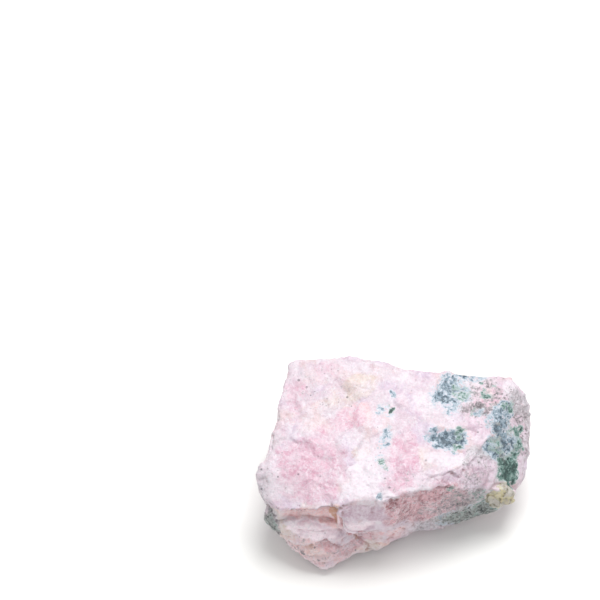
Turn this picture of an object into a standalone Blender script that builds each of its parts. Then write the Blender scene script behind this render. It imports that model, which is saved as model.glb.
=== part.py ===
"""A rough-broken piece of rhodochrosite rock, 55 mm long, lying on its flattest break.

The stone is one natural piece, so the model is one closed solid. It is blocked out from convex masses: a
left and a right mass that share the top, a cheek bulging from the left rim, a stepped lobe at the front
foot, a thin plate standing proud of the front face and a knot of crystals at the right end. Convex cutters
take out the hollows where flakes came away. The blocked-out solid is remeshed finely, roughened with hackly
fracture relief, thinned to a light mesh and cut off flat where it rests.

Run with: blender --background --python part.py
Units are metres; the corner tables are in millimetres. +Z is up, +X runs along the stone, -Y is its front.
The origin is the middle of the stone's outline, on the surface it rests on.
"""

import bmesh
import bpy
import numpy as np
from mathutils import Vector

MM = 0.001

# The corners of each convex mass, in millimetres. The masses overlap deeply and join into the stone.
MASS_CORNERS = {
    "left mass": [
        # rear rim of the top
        (-21.0, 17.5, 22.0), (-14.5, 18.0, 23.0), (-8.5, 17.7, 23.3), (-3.0, 17.1, 23.3), (0.5, 15.9, 23.0),
        (3.0, 15.2, 22.5),
        # left rim and front ridge
        (-22.0, 12.0, 21.5), (-23.0, 7.5, 21.0), (-24.0, 3.0, 20.0), (-25.0, -3.0, 18.5),
        (-25.5, -10.0, 14.5), (-24.5, -12.5, 14.5), (-22.5, -14.0, 14.5), (-20.5, -15.0, 15.0),
        (-17.5, -15.0, 16.0), (-14.0, -14.5, 17.0), (-8.0, -14.0, 18.5), (-3.0, -13.5, 19.0),
        (0.5, -13.0, 19.0), (4.0, -11.5, 19.0), (7.0, -9.0, 19.5),
        # front face, down to its foot
        (-10.5, -14.5, 10.5), (-5.0, -14.5, 10.0), (-0.5, -14.0, 10.0), (4.5, -10.0, 3.5),
        (0.5, -11.5, 3.0), (-2.0, -13.0, 3.0), (-5.5, -15.0, 2.5), (-19.0, -12.0, 3.0),
        # left end and back
        (-25.0, -8.0, 9.0), (-24.5, 1.0, 12.0), (-23.5, 6.0, 8.0), (-22.5, 12.0, 13.0),
        (-20.0, 17.0, 13.0), (-12.0, 18.8, 14.0), (-4.0, 18.5, 12.0), (4.0, 17.5, 9.0),
        (-19.0, 13.5, 6.0), (-9.0, 16.0, 5.0), (2.0, 15.0, 4.0), (-22.5, -3.0, 5.0),
        # underside, cut off at the resting plane
        (-13.5, -13.5, -0.8), (-4.0, -9.5, -0.8), (8.0, -5.5, -0.8), (4.0, 9.5, -0.8),
        (-9.0, 10.0, -0.8), (-15.0, 5.0, -0.8), (-16.5, -7.0, -0.8),
    ],
    "right mass": [
        # rear rim of the top
        (0.5, 15.2, 23.0), (3.0, 15.2, 22.5), (7.5, 14.8, 22.3), (11.0, 14.4, 22.0), (21.0, 14.2, 21.5),
        (24.0, 14.5, 21.0), (25.5, 13.5, 20.0), (26.0, 13.0, 19.0), (26.5, 11.5, 17.5),
        # lip above the shelf
        (7.0, -9.0, 19.5), (9.5, -8.0, 19.5), (11.5, -7.0, 19.5), (13.5, -6.0, 19.5), (15.5, -3.5, 19.5),
        (17.5, -0.5, 20.0), (20.0, 4.0, 20.5), (21.5, 9.0, 21.0),
        # shelf rim
        (5.0, -11.0, 19.0), (8.5, -10.0, 18.0), (11.0, -9.5, 17.0), (13.5, -9.5, 16.0), (15.5, -8.5, 15.5),
        (17.5, -7.5, 15.0), (18.5, -6.5, 14.5), (19.0, -5.0, 14.5),
        # right end
        (27.0, 8.5, 15.0), (26.9, 4.5, 13.5), (26.6, 1.5, 12.5), (25.8, -2.5, 10.0), (24.5, -1.5, 12.0),
        (23.2, -4.7, 6.8), (23.5, 1.0, 4.5), (22.5, 8.0, 5.0), (24.5, 12.0, 10.0),
        # front foot
        (21.0, -6.5, 5.5), (18.5, -7.5, 5.0), (15.0, -9.1, 4.4), (10.0, -10.1, 3.5), (4.5, -10.2, 3.4),
        # back and root
        (19.0, 15.0, 12.0), (8.0, 16.5, 11.0), (15.0, 12.5, 4.5), (4.0, 14.0, 3.5), (0.0, 14.0, 12.0),
        (-4.0, -9.0, 10.0),
        # underside, cut off at the resting plane
        (6.0, -6.0, -0.8), (12.5, -3.5, -0.8), (16.0, 1.5, -0.8), (13.5, 7.0, -0.8), (4.0, 9.5, -0.8),
        (-6.0, 0.0, -0.8),
    ],
    "left cheek": [
        (-25.5, -3.0, 18.0), (-26.8, -5.3, 17.5), (-27.2, -8.0, 16.0), (-25.2, -10.6, 14.5),
        (-25.4, -9.4, 10.5), (-26.0, -6.0, 12.0), (-20.0, -9.0, 16.0), (-20.0, -4.0, 17.5),
        (-21.0, -6.0, 8.0),
    ],
    "front lobe": [
        # upper slope and belly
        (-23.5, -12.5, 13.0), (-18.0, -14.0, 13.0), (-12.0, -14.0, 12.0),
        (-24.5, -12.5, 10.0), (-20.0, -15.5, 9.0), (-15.0, -17.0, 8.0), (-10.5, -16.5, 8.0),
        # foot
        (-7.5, -15.5, 2.5), (-11.0, -17.0, 2.0), (-13.0, -18.5, 1.5), (-14.5, -19.0, 1.5),
        (-17.0, -17.3, 2.0), (-19.6, -14.2, 3.5), (-23.0, -12.1, 5.2), (-26.0, -11.0, 7.5),
        (-26.2, -10.0, 10.5),
        # root inside the left mass
        (-13.5, -15.5, -0.8), (-16.5, -12.0, -0.8), (-10.0, -13.0, -0.8), (-22.0, -6.0, 8.0),
        (-8.0, -8.0, 8.0),
    ],
    "plate": [
        (-11.4, -14.6, 17.4), (-8.0, -14.3, 18.3), (-3.0, -13.7, 18.8), (-11.7, -15.4, 16.5),
        (-11.4, -16.2, 13.5), (-11.0, -16.4, 12.0), (-10.0, -16.5, 10.9), (-8.0, -16.5, 10.4),
        (-6.0, -16.3, 10.0), (-3.5, -15.8, 9.8), (-1.0, -14.8, 10.1), (1.5, -13.1, 16.0),
        (-10.0, -11.0, 16.5), (-2.0, -10.0, 16.0), (-9.5, -11.0, 12.0), (-3.0, -10.0, 12.0),
    ],
    "crystal knot": [
        (18.6, -7.2, 13.4), (20.6, -7.2, 13.2), (24.2, -5.4, 11.2), (24.8, -5.4, 9.0), (24.0, -5.7, 7.2),
        (21.7, -7.3, 5.8), (19.6, -8.1, 5.8), (18.8, -8.3, 8.5), (20.0, -1.0, 12.0), (20.0, -1.0, 7.0),
    ],
}

# Shallow hollows where flakes came away, as convex cutters.
HOLLOW_CORNERS = {
    "recess beside the plate": [
        (-23.0, -20.0, 19.0), (-11.2, -20.0, 23.5), (-22.5, -12.9, 13.5), (-11.8, -13.3, 15.9),
        (-22.5, -13.1, 12.3), (-11.4, -14.0, 11.7), (-23.0, -20.0, 7.5), (-10.6, -20.0, 7.5),
    ],
    "scar on the back": [
        (-6.0, 22.0, 17.5), (-4.0, 17.2, 15.0), (7.0, 15.3, 15.5), (12.0, 22.0, 19.0), (9.5, 15.2, 9.5),
        (14.0, 22.0, 7.0), (-3.0, 16.9, 7.0), (-6.0, 22.0, 5.0), (4.0, 15.4, 5.5), (6.0, 22.0, 1.0),
    ],
    "scar on the left end": [
        (-30.0, -1.0, 12.5), (-23.2, 0.0, 11.0), (-21.8, 7.5, 14.0), (-30.0, 12.0, 19.0),
        (-21.6, 8.5, 8.0), (-30.0, 13.0, 6.0), (-22.5, 0.5, 7.0), (-30.0, -1.0, 5.0),
    ],
}

# The blocked-out stone's remeshed faces, how often its edges are worn down, and the finished mesh's size.
FINE_VOXEL = 0.5 * MM
WEAR_STEPS = 3
LIGHT_MESH_TRIANGLES = 9000

# Hackly relief: each layer is (size of a facet or a swell, height, seed), in millimetres.
FACET_LAYERS = ((8.0, 0.38, 3), (3.4, 0.24, 8))
SWELL_LAYERS = ((14.0, 0.45, 21), (5.0, 0.28, 22))

# How far the edges of the hackly facets wander in millimetres, and how wide an edge is for its facet.
BEND = 1.3
FACET_EDGE = 0.12

# The relief dies away over this height above the resting plane, so that the cut there is one clean face.
FOOT_FADE = 1.5

# Ledges across the front lobe: their crests stand at this height and every pitch above and below it.
LEDGE_CREST = 8.0
LEDGE_PITCH = 2.4
LEDGE_DEPTH = 0.55
LEDGE_SLOPE = 0.15
LEDGE_MIDDLE_X = -16.0
LEDGE_LIP = 0.8  # the share of the pitch over which a ledge grows outwards before it drops back
LEDGE_FRONT_Y = (-12.0, -14.0)  # the ledges fade in between each of these pairs
LEDGE_LEFT_X = (-6.5, -9.5)
LEDGE_TOP_Z = (12.5, 10.5)
LEDGE_FOOT_Z = (0.5, 2.0)

# The pit in the top that holds the green crystals.
PIT_CENTRE = (10.0, -0.7, 20.3)
PIT_RADII = (3.7, 2.7, 3.0)
PIT_DEPTH = 0.8
PIT_EDGE = (1.25, 0.4)  # the dish deepens between these shares of its radii


def lattice(cells, seed):
    """A repeatable number from 0 to 1 for each whole-numbered lattice point, by an integer hash."""
    x, y, z = (cells[..., axis].astype(np.int64) for axis in range(3))
    mixed = (x * 73856093) ^ (y * 19349663) ^ (z * 83492791) ^ (seed * 2654435761)
    mixed = ((mixed ^ (mixed >> 13)) * 1274126177) & 0xFFFFFFFF
    mixed = ((mixed ^ (mixed >> 16)) * 2246822519) & 0xFFFFFFFF
    return ((mixed ^ (mixed >> 15)) & 0xFFFFFF) / 0xFFFFFF


def swell(points, size, seed):
    """Smooth noise from -1 to 1: lattice values blended between the eight corners of each cell."""
    cell = np.floor(points / size)
    part = points / size - cell
    ease = part * part * (3 - 2 * part)
    total = np.zeros(len(points))
    for corner in np.ndindex(2, 2, 2):
        weight = np.prod(np.where(corner, ease, 1 - ease), axis=1)
        total += weight * lattice(cell + np.array(corner), seed)
    return 2 * total - 1


def facets(points, size, seed):
    """Faceted noise from about -1 to 1: each point takes the tilted plane of its nearest grain centre."""
    cell = np.floor(points / size)
    nearest = np.full(len(points), np.inf)
    second = np.full(len(points), np.inf)
    height = np.zeros(len(points))
    other = np.zeros(len(points))
    for step in np.ndindex(3, 3, 3):
        home = cell + np.array(step) - 1
        centre = home + np.stack([lattice(home, seed + i) for i in range(3)], axis=1)
        offset = points / size - centre
        distance = np.linalg.norm(offset, axis=1)
        tilt = np.stack([lattice(home, seed + 10 + i) for i in range(3)], axis=1) - 0.5
        plane = 2 * np.sum(tilt * offset, axis=1) + lattice(home, seed + 20) - 0.5
        closer = distance < nearest
        between = ~closer & (distance < second)
        other = np.where(closer, height, np.where(between, plane, other))
        second = np.where(closer, nearest, np.where(between, distance, second))
        height = np.where(closer, plane, height)
        nearest = np.where(closer, distance, nearest)
    share = np.clip((second - nearest) / FACET_EDGE, 0, 1) * 0.5 + 0.5
    return height * share + other * (1 - share)


def fade(value, start, end):
    """0 at start and before, 1 at end and past it, and a smooth rise between."""
    share = np.clip((value - start) / (end - start), 0, 1)
    return share * share * (3 - 2 * share)


def ledges(points):
    """Overhanging steps across the front lobe: each grows outwards as it goes down, then drops back."""
    x, y, z = points.T
    wander = 1.2 * swell(points, 6.0, 31) + 0.5 * swell(points, 2.5, 32)
    level = z - LEDGE_SLOPE * (x - LEDGE_MIDDLE_X) + wander
    part = (LEDGE_CREST - level) / LEDGE_PITCH % 1
    step = np.where(part < LEDGE_LIP, part / LEDGE_LIP, (1 - part) / (1 - LEDGE_LIP)) - 0.5
    across = fade(y, *LEDGE_FRONT_Y) * fade(x, *LEDGE_LEFT_X)
    upwards = fade(z, *LEDGE_TOP_Z) * fade(z, *LEDGE_FOOT_Z)
    return LEDGE_DEPTH * step * across * upwards * (0.6 + 0.6 * swell(points, 5.0, 33))


def pit(points):
    """A shallow dish in the top."""
    reach = np.linalg.norm((points - PIT_CENTRE) / PIT_RADII, axis=1) + 0.25 * swell(points, 2.2, 34)
    return -PIT_DEPTH * fade(reach, *PIT_EDGE)


def relief(points):
    """How far the surface stands out at each point, all in millimetres."""
    total = np.zeros(len(points))
    bent = points + BEND * np.stack([swell(points, 6.0, seed) for seed in (41, 42, 43)], axis=1)
    for size, height, seed in FACET_LAYERS:
        total += height * facets(bent, size, seed)
    for size, height, seed in SWELL_LAYERS:
        total += height * swell(points, size, seed)
    return (total + ledges(points) + pit(points)) * fade(points[:, 2], 0.0, FOOT_FADE)


def collection(name):
    """A new collection in the scene."""
    made = bpy.data.collections.new(name)
    bpy.context.scene.collection.children.link(made)
    return made


def convex_solid(name, corners, home):
    """The convex hull of a list of corners in millimetres, as a mesh object."""
    shape = bmesh.new()
    for corner in corners:
        shape.verts.new(Vector(corner) * MM)
    hull = bmesh.ops.convex_hull(shape, input=shape.verts)
    inner = [v for v in hull["geom_interior"] + hull["geom_unused"] if isinstance(v, bmesh.types.BMVert)]
    bmesh.ops.delete(shape, geom=list(set(inner)), context="VERTS")
    bmesh.ops.recalc_face_normals(shape, faces=shape.faces)
    mesh = bpy.data.meshes.new(name)
    shape.to_mesh(mesh)
    shape.free()
    solid = bpy.data.objects.new(name, mesh)
    home.objects.link(solid)
    return solid


def join(block, helper, operation):
    """A Boolean modifier on the block; the helper stays as a hidden wire guide."""
    helper.hide_render = True
    helper.display_type = "WIRE"
    cut = block.modifiers.new(f"{operation.title()} {helper.name}", "BOOLEAN")
    cut.operation = operation
    cut.object = helper


def evaluated_mesh(solid):
    """The object's mesh with its modifiers applied."""
    graph = bpy.context.evaluated_depsgraph_get()
    return bpy.data.meshes.new_from_object(solid.evaluated_get(graph))


def blocked_out():
    """The masses joined and the hollows cut, remeshed to small even faces."""
    guides = collection("guides")
    masses = [convex_solid(name, corners, guides) for name, corners in MASS_CORNERS.items()]
    block = masses[0]
    block.hide_render = True
    for mass in masses[1:]:
        join(block, mass, "UNION")
    for name, corners in HOLLOW_CORNERS.items():
        join(block, convex_solid(name, corners, guides), "DIFFERENCE")
    remesh = block.modifiers.new("Fine even faces", "REMESH")
    remesh.mode = "VOXEL"
    remesh.voxel_size = FINE_VOXEL
    wear = block.modifiers.new("Worn edges", "SMOOTH")
    wear.factor = 0.5
    wear.iterations = WEAR_STEPS
    return evaluated_mesh(block)


def roughened(mesh):
    """Moves every vertex along its normal by the fracture relief."""
    count = len(mesh.vertices)
    points = np.empty(count * 3)
    normals = np.empty(count * 3)
    mesh.vertices.foreach_get("co", points)
    mesh.vertex_normals.foreach_get("vector", normals)
    points = points.reshape(-1, 3)
    points += normals.reshape(-1, 3) * relief(points / MM)[:, None] * MM
    mesh.vertices.foreach_set("co", points.ravel())
    mesh.update()
    return mesh


def thinned(mesh, home):
    """The same surface with far fewer triangles, kept where the shape needs them."""
    stone = bpy.data.objects.new("stone", mesh)
    home.objects.link(stone)
    thin = stone.modifiers.new("Light mesh", "DECIMATE")
    thin.ratio = LIGHT_MESH_TRIANGLES / (2 * len(mesh.polygons))
    thin.use_collapse_triangulate = True
    stone.data = evaluated_mesh(stone)
    stone.modifiers.clear()
    return stone


def flatten_base(stone):
    """Cuts the stone off at the surface it rests on and closes the cut with one flat face."""
    shape = bmesh.new()
    shape.from_mesh(stone.data)
    everything = shape.verts[:] + shape.edges[:] + shape.faces[:]
    cut = bmesh.ops.bisect_plane(
        shape, geom=everything, dist=1e-7, plane_co=(0, 0, 0), plane_no=(0, 0, -1), clear_outer=True
    )
    rim = [part for part in cut["geom_cut"] if isinstance(part, bmesh.types.BMEdge)]
    bmesh.ops.contextual_create(shape, geom=rim)
    shape.to_mesh(stone.data)
    shape.free()


def pink_rock():
    """Pale pink granular rock."""
    material = bpy.data.materials.new("rhodochrosite")
    material.use_nodes = True
    shader = material.node_tree.nodes["Principled BSDF"]
    shader.inputs["Base Color"].default_value = (0.80, 0.62, 0.68, 1)
    shader.inputs["Roughness"].default_value = 0.62
    shader.inputs["Metallic"].default_value = 0.0
    return material


def main():
    for old in list(bpy.data.objects):
        bpy.data.objects.remove(old)
    home = collection("rhodochrosite_specimen")
    stone = thinned(roughened(blocked_out()), home)
    flatten_base(stone)
    stone.data.materials.append(pink_rock())


main()
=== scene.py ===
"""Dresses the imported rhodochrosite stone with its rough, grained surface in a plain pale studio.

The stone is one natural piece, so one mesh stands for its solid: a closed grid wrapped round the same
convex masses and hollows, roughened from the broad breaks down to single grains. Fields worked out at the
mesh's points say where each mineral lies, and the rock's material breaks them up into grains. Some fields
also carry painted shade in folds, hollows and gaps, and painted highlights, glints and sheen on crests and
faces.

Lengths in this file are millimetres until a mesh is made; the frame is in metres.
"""

from __future__ import annotations

import logging
import math
from dataclasses import dataclass, field
from enum import Enum

import bmesh
import bpy
import numpy as np
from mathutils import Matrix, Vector

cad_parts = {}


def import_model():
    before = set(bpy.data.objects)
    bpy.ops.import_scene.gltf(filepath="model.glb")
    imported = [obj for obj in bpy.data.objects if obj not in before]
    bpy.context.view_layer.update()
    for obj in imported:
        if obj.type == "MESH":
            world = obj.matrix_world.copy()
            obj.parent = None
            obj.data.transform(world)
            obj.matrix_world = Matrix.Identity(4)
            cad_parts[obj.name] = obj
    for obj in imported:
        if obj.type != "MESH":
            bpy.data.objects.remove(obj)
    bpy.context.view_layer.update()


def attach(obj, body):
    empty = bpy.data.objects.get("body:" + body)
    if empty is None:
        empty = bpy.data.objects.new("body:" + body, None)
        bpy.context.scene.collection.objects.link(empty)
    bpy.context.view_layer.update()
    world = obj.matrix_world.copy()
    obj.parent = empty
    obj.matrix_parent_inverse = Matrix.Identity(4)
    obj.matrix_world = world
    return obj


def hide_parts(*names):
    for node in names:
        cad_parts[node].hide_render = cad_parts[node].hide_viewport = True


MM = 0.001
LOG = logging.getLogger("rhodochrosite")

WEAR_HIGHLIGHT_AND_SHADE = "wear"  # the mesh attribute that says where the surface is proud or sunk; it places bruising and painted highlight on the proud parts and painted shade in the sunk ones
TINY = 1e-9  # keeps a division away from nothing
LEVEL, STEEP = 0.85, 0.3  # how far a normal points up where a face counts as level, and as steep

Triple = tuple[float, float, float]
Colour = tuple[float, float, float]
Layer = tuple[float, float, int]  # of noise: its size and its height or reach in millimetres, and its seed


# ---- Noise ----


def lattice(cells: np.ndarray, seed: int) -> np.ndarray:
    """A repeatable number from 0 to 1 for each whole-numbered lattice point, by an integer hash.

    Args:
        cells: Lattice points, one row each.
        seed: Picks one of many independent sets of numbers.

    Returns:
        One number for each row.
    """
    x, y, z = (cells[..., axis].astype(np.int64) for axis in range(3))
    mixed = (x * 73856093) ^ (y * 19349663) ^ (z * 83492791) ^ (seed * 2654435761)
    mixed = ((mixed ^ (mixed >> 13)) * 1274126177) & 0xFFFFFFFF
    mixed = ((mixed ^ (mixed >> 16)) * 2246822519) & 0xFFFFFFFF
    return ((mixed ^ (mixed >> 15)) & 0xFFFFFF) / 0xFFFFFF


def swell(points: np.ndarray, size: float, seed: int) -> np.ndarray:
    """Smooth noise from -1 to 1: lattice values blended between the eight corners of each cell.

    Args:
        points: Points in millimetres, one row each.
        size: The width of a cell.
        seed: Picks the lattice's numbers.

    Returns:
        One number for each point.
    """
    cell = np.floor(points / size)
    part = points / size - cell
    ease = part * part * (3 - 2 * part)
    total = np.zeros(len(points))
    for corner in np.ndindex(2, 2, 2):
        weight = np.prod(np.where(corner, ease, 1 - ease), axis=1)
        total += weight * lattice(cell + np.array(corner), seed)
    return 2 * total - 1


def cloud(points: np.ndarray, size: float, seed: int, crested: bool = False, octaves: int = 3) -> np.ndarray:
    """Swells summed over octaves, each half as wide and half as high as the last, from about -1 to 1.

    Args:
        points: Points in millimetres, one row each.
        size: The width of the widest swell.
        seed: Picks the lattices' numbers.
        crested: Whether each swell is folded at its zero line, into crisp crests over rounded hollows.
        octaves: How many swells are summed.

    Returns:
        One number for each point.
    """
    total = np.zeros(len(points))
    for octave in range(octaves):
        wave = swell(points, size / 2**octave, seed + octave)
        total += 0.5**octave * (0.5 - 2 * np.abs(wave) if crested else wave)
    return total / (2 - 0.5 ** (octaves - 1))


def facets(points: np.ndarray, size: float, seed: int, edge: float = 0.12) -> np.ndarray:
    """Faceted noise from about -1 to 1: each point takes the tilted plane of its nearest grain centre.

    Args:
        points: Points in millimetres, one row each.
        size: The width of a grain.
        seed: Picks the grains' centres and tilts.
        edge: How wide the blend between two grains is, as a share of a grain.

    Returns:
        One number for each point.
    """
    cell = np.floor(points / size)
    nearest = np.full(len(points), np.inf)
    second = np.full(len(points), np.inf)
    height = np.zeros(len(points))
    other = np.zeros(len(points))
    for step in np.ndindex(3, 3, 3):
        home = cell + np.array(step) - 1
        centre = home + np.stack([lattice(home, seed + i) for i in range(3)], axis=1)
        offset = points / size - centre
        distance = np.linalg.norm(offset, axis=1)
        tilt = np.stack([lattice(home, seed + 10 + i) for i in range(3)], axis=1) - 0.5
        plane = 2 * np.sum(tilt * offset, axis=1) + lattice(home, seed + 20) - 0.5
        closer = distance < nearest
        between = ~closer & (distance < second)
        other = np.where(closer, height, np.where(between, plane, other))
        second = np.where(closer, nearest, np.where(between, distance, second))
        height = np.where(closer, plane, height)
        nearest = np.where(closer, distance, nearest)
    share = np.clip((second - nearest) / edge, 0, 1) * 0.5 + 0.5
    return height * share + other * (1 - share)


def bend(points: np.ndarray, layers: tuple[Layer, ...]) -> np.ndarray:
    """Points moved about by layers of smooth noise, as far as their reach says."""
    bent = points.copy()
    for size, reach, seed in layers:
        bent += reach * np.stack([swell(points, size, seed + i) for i in range(3)], axis=1)
    return bent


def away_from_path(points: np.ndarray, path: tuple[Triple, ...]) -> np.ndarray:
    """The way from the nearest point of a line to each point: the best of its spans' nearest points.

    Args:
        points: Points in millimetres, one row each.
        path: The line's points.

    Returns:
        One vector for each point.
    """
    away = np.full(points.shape, np.inf)
    nearest = np.full(len(points), np.inf)
    ends = np.array(path)
    for start, end in zip(ends[:-1], ends[1:]):
        span = end - start
        share = np.clip((points - start) @ span / (span @ span), 0, 1)
        offset = points - start - share[:, None] * span
        distance = np.linalg.norm(offset, axis=1)
        closer = distance < nearest
        nearest = np.where(closer, distance, nearest)
        away = np.where(closer[:, None], offset, away)
    return away


def fade(value: np.ndarray, start: float, end: float) -> np.ndarray:
    """0 at start and before, 1 at end and past it, and a smooth rise between; start may be above end."""
    share = np.clip((value - start) / (end - start), 0, 1)
    return share * share * (3 - 2 * share)


def in_ellipsoid(points: np.ndarray, centre: Triple, radii: Triple, edge: tuple[float, float]) -> np.ndarray:
    """0 outside an ellipsoid and 1 inside it; edge is where its fade begins and is full, in radii."""
    return fade(np.linalg.norm((points - centre) / radii, axis=1), *edge)


# ---- The stone's form ----


@dataclass(frozen=True)
class ConvexBlock:
    """A convex solid given by its corners, in millimetres.

    Attributes:
        name: What it is on the stone.
        corners: Its corners; points that fall inside the others' hull do nothing.
    """

    name: str
    corners: tuple[Triple, ...]

    def planes(self, *extra: Triple) -> tuple[np.ndarray, np.ndarray]:
        """The planes of its convex hull.

        Args:
            extra: More corners, such as the point that its root reaches in to.

        Returns:
            The outward normals, one row each, and each plane's distance from the origin along its normal.
        """
        hull = bmesh.new()
        for corner in self.corners + extra:
            hull.verts.new(Vector(corner))
        bmesh.ops.convex_hull(hull, input=hull.verts)
        middle = sum((v.co for v in hull.verts), Vector()) / len(hull.verts)
        normals, offsets = [], []
        for face in hull.faces:
            normal = face.normal if face.normal.dot(face.verts[0].co - middle) > 0 else -face.normal
            normals.append(tuple(normal))
            offsets.append(normal.dot(face.verts[0].co))
        hull.free()
        return np.array(normals), np.array(offsets)

    def way_out(self, core: np.ndarray, rays: np.ndarray) -> np.ndarray:
        """How far each ray from the core runs before it leaves the block, which is rooted at the core.

        The length is the least of the lengths to the planes that the ray runs towards.

        Args:
            core: The point that every ray starts from.
            rays: Their unit directions, one row each.

        Returns:
            One length for each ray.
        """
        normals, offsets = self.planes(tuple(core))
        towards = rays @ normals.T
        lengths = np.where(towards > TINY, (offsets - normals @ core) / np.maximum(towards, TINY), np.inf)
        return lengths.min(axis=1)

    def way_in(self, core: np.ndarray, rays: np.ndarray) -> np.ndarray:
        """How far each ray from the core, outside the block, runs before it enters it, or infinity.

        A ray enters at the last of the planes that it meets from in front, and misses where it has by
        then left through another.

        Args:
            core: The point that every ray starts from.
            rays: Their unit directions, one row each.

        Returns:
            One length for each ray.
        """
        normals, offsets = self.planes()
        towards = rays @ normals.T
        gap = offsets - normals @ core
        with np.errstate(divide="ignore", invalid="ignore"):
            lengths = gap / towards
        enter = np.where(towards < -TINY, lengths, -np.inf).max(axis=1)
        leave = np.where(towards > TINY, lengths, np.inf).min(axis=1)
        return np.where((enter < leave) & (enter > 0), enter, np.inf)


MASSES = (
    ConvexBlock("left mass", (
        # rear rim of the top
        (-21, 17.5, 22), (-14.5, 18, 23), (-8.5, 17.7, 23.3), (-3, 17.1, 23.3), (0.5, 15.9, 23),
        (3, 15.2, 22.5),
        # left rim and front ridge
        (-22, 12, 21.5), (-23, 7.5, 21), (-24, 3, 20), (-25, -3, 18.5),
        (-25.5, -10, 14.5), (-24.5, -12.5, 14.5), (-22.5, -14, 14.5), (-20.5, -15, 15),
        (-17.5, -15, 16), (-14, -14.5, 17), (-8, -14, 18.5), (-3, -13.5, 19),
        (0.5, -13, 19), (4, -11.5, 19), (7, -9, 19.5),
        # front face, down to its foot
        (-10.5, -14.5, 10.5), (-5, -14.5, 10), (-0.5, -14, 10), (4.5, -10, 3.5),
        (0.5, -11.5, 3), (-2, -13, 3), (-5.5, -15, 2.5), (-19, -12, 3),
        # left end and back
        (-25, -8, 9), (-24.5, 1, 12), (-23.5, 6, 8), (-22.5, 12, 13),
        (-20, 17, 13), (-12, 18.8, 14), (-4, 18.5, 12), (4, 17.5, 9),
        (-19, 13.5, 6), (-9, 16, 5), (2, 15, 4), (-22.5, -3, 5),
        # underside, cut off at the resting plane
        (-13.5, -13.5, -0.8), (-4, -9.5, -0.8), (8, -5.5, -0.8), (4, 9.5, -0.8),
        (-9, 10, -0.8), (-15, 5, -0.8), (-16.5, -7, -0.8),
    )),
    ConvexBlock("right mass", (
        # rear rim of the top
        (0.5, 15.2, 23), (3, 15.2, 22.5), (7.5, 14.8, 22.3), (11, 14.4, 22), (21, 14.2, 21.5),
        (24, 14.5, 21), (25.5, 13.5, 20), (26, 13, 19), (26.5, 11.5, 17.5),
        # lip above the shelf
        (7, -9, 19.5), (9.5, -8, 19.5), (11.5, -7, 19.5), (13.5, -6, 19.5), (15.5, -3.5, 19.5),
        (17.5, -0.5, 20), (20, 4, 20.5), (21.5, 9, 21),
        # shelf rim
        (5, -11, 19), (8.5, -10, 18), (11, -9.5, 17), (13.5, -9.5, 16), (15.5, -8.5, 15.5),
        (17.5, -7.5, 15), (18.5, -6.5, 14.5), (19, -5, 14.5),
        # right end
        (27, 8.5, 15), (26.9, 4.5, 13.5), (26.6, 1.5, 12.5), (25.8, -2.5, 10), (24.5, -1.5, 12),
        (23.2, -4.7, 6.8), (23.5, 1, 4.5), (22.5, 8, 5), (24.5, 12, 10),
        # front foot
        (21, -6.5, 5.5), (18.5, -7.5, 5), (15, -9.1, 4.4), (10, -10.1, 3.5), (4.5, -10.2, 3.4),
        # back and root
        (19, 15, 12), (8, 16.5, 11), (15, 12.5, 4.5), (4, 14, 3.5), (0, 14, 12),
        (-4, -9, 10),
        # underside, cut off at the resting plane
        (6, -6, -0.8), (12.5, -3.5, -0.8), (16, 1.5, -0.8), (13.5, 7, -0.8), (4, 9.5, -0.8),
        (-6, 0, -0.8),
    )),
    ConvexBlock("left cheek", (
        (-25.5, -3, 18), (-26.8, -5.3, 17.5), (-27.2, -8, 16), (-25.2, -10.6, 14.5),
        (-25.4, -9.4, 10.5), (-26, -6, 12),
    )),
    ConvexBlock("front lobe", (
        # upper slope and belly
        (-23.5, -12.5, 13), (-18, -14, 13), (-12, -14, 12),
        (-24.5, -12.5, 10), (-20, -15.5, 9), (-15, -17, 8), (-10.5, -16.5, 8),
        # foot
        (-7.5, -15.5, 2.5), (-11, -17, 2), (-13, -18.5, 1.5), (-14.5, -19, 1.5),
        (-17, -17.3, 2), (-19.6, -14.2, 3.5), (-23, -12.1, 5.2), (-26, -11, 7.5),
        (-26.2, -10, 10.5),
        # root in the left mass
        (-13.5, -15.5, -0.8), (-16.5, -12, -0.8), (-10, -13, -0.8), (-22, -6, 8),
    )),
    ConvexBlock("plate", (
        (-11.4, -14.6, 17.4), (-8, -14.3, 18.3), (-3, -13.7, 18.8), (-11.7, -15.4, 16.5),
        (-11.4, -16.2, 13.5), (-11, -16.4, 12), (-10, -16.5, 10.9), (-8, -16.5, 10.4),
        (-6, -16.3, 10), (-3.5, -15.8, 9.8), (-1, -14.8, 10.1), (1.5, -13.1, 16),
    )),
    ConvexBlock("crystal knot", (
        (18.6, -7.2, 13.4), (20.6, -7.2, 13.2), (24.2, -5.4, 11.2), (24.8, -5.4, 9), (24, -5.7, 7.2),
        (21.7, -7.3, 5.8), (19.6, -8.1, 5.8), (18.8, -8.3, 8.5),
    )),
)

HOLLOWS = (
    ConvexBlock("recess beside the plate", (
        (-23, -20, 19), (-11.2, -20, 23.5), (-22.5, -12.9, 13.5), (-11.8, -13.3, 15.9),
        (-22.5, -13.1, 12.3), (-11.4, -14, 11.7), (-23, -20, 7.5), (-10.6, -20, 7.5),
    )),
    ConvexBlock("scar on the back", (
        (-6, 22, 17.5), (-4, 17.2, 15), (7, 15.3, 15.5), (12, 22, 19), (9.5, 15.2, 9.5),
        (14, 22, 7), (-3, 16.9, 7), (-6, 22, 5), (4, 15.4, 5.5), (6, 22, 1),
    )),
    ConvexBlock("scar on the left end", (
        (-30, -1, 12.5), (-23.7, 0, 11), (-22.3, 7.5, 14), (-30, 12, 19),
        (-22.1, 8.5, 8), (-30, 13, 6), (-23, 0.5, 7), (-30, -1, 5),
    )),
)


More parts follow.
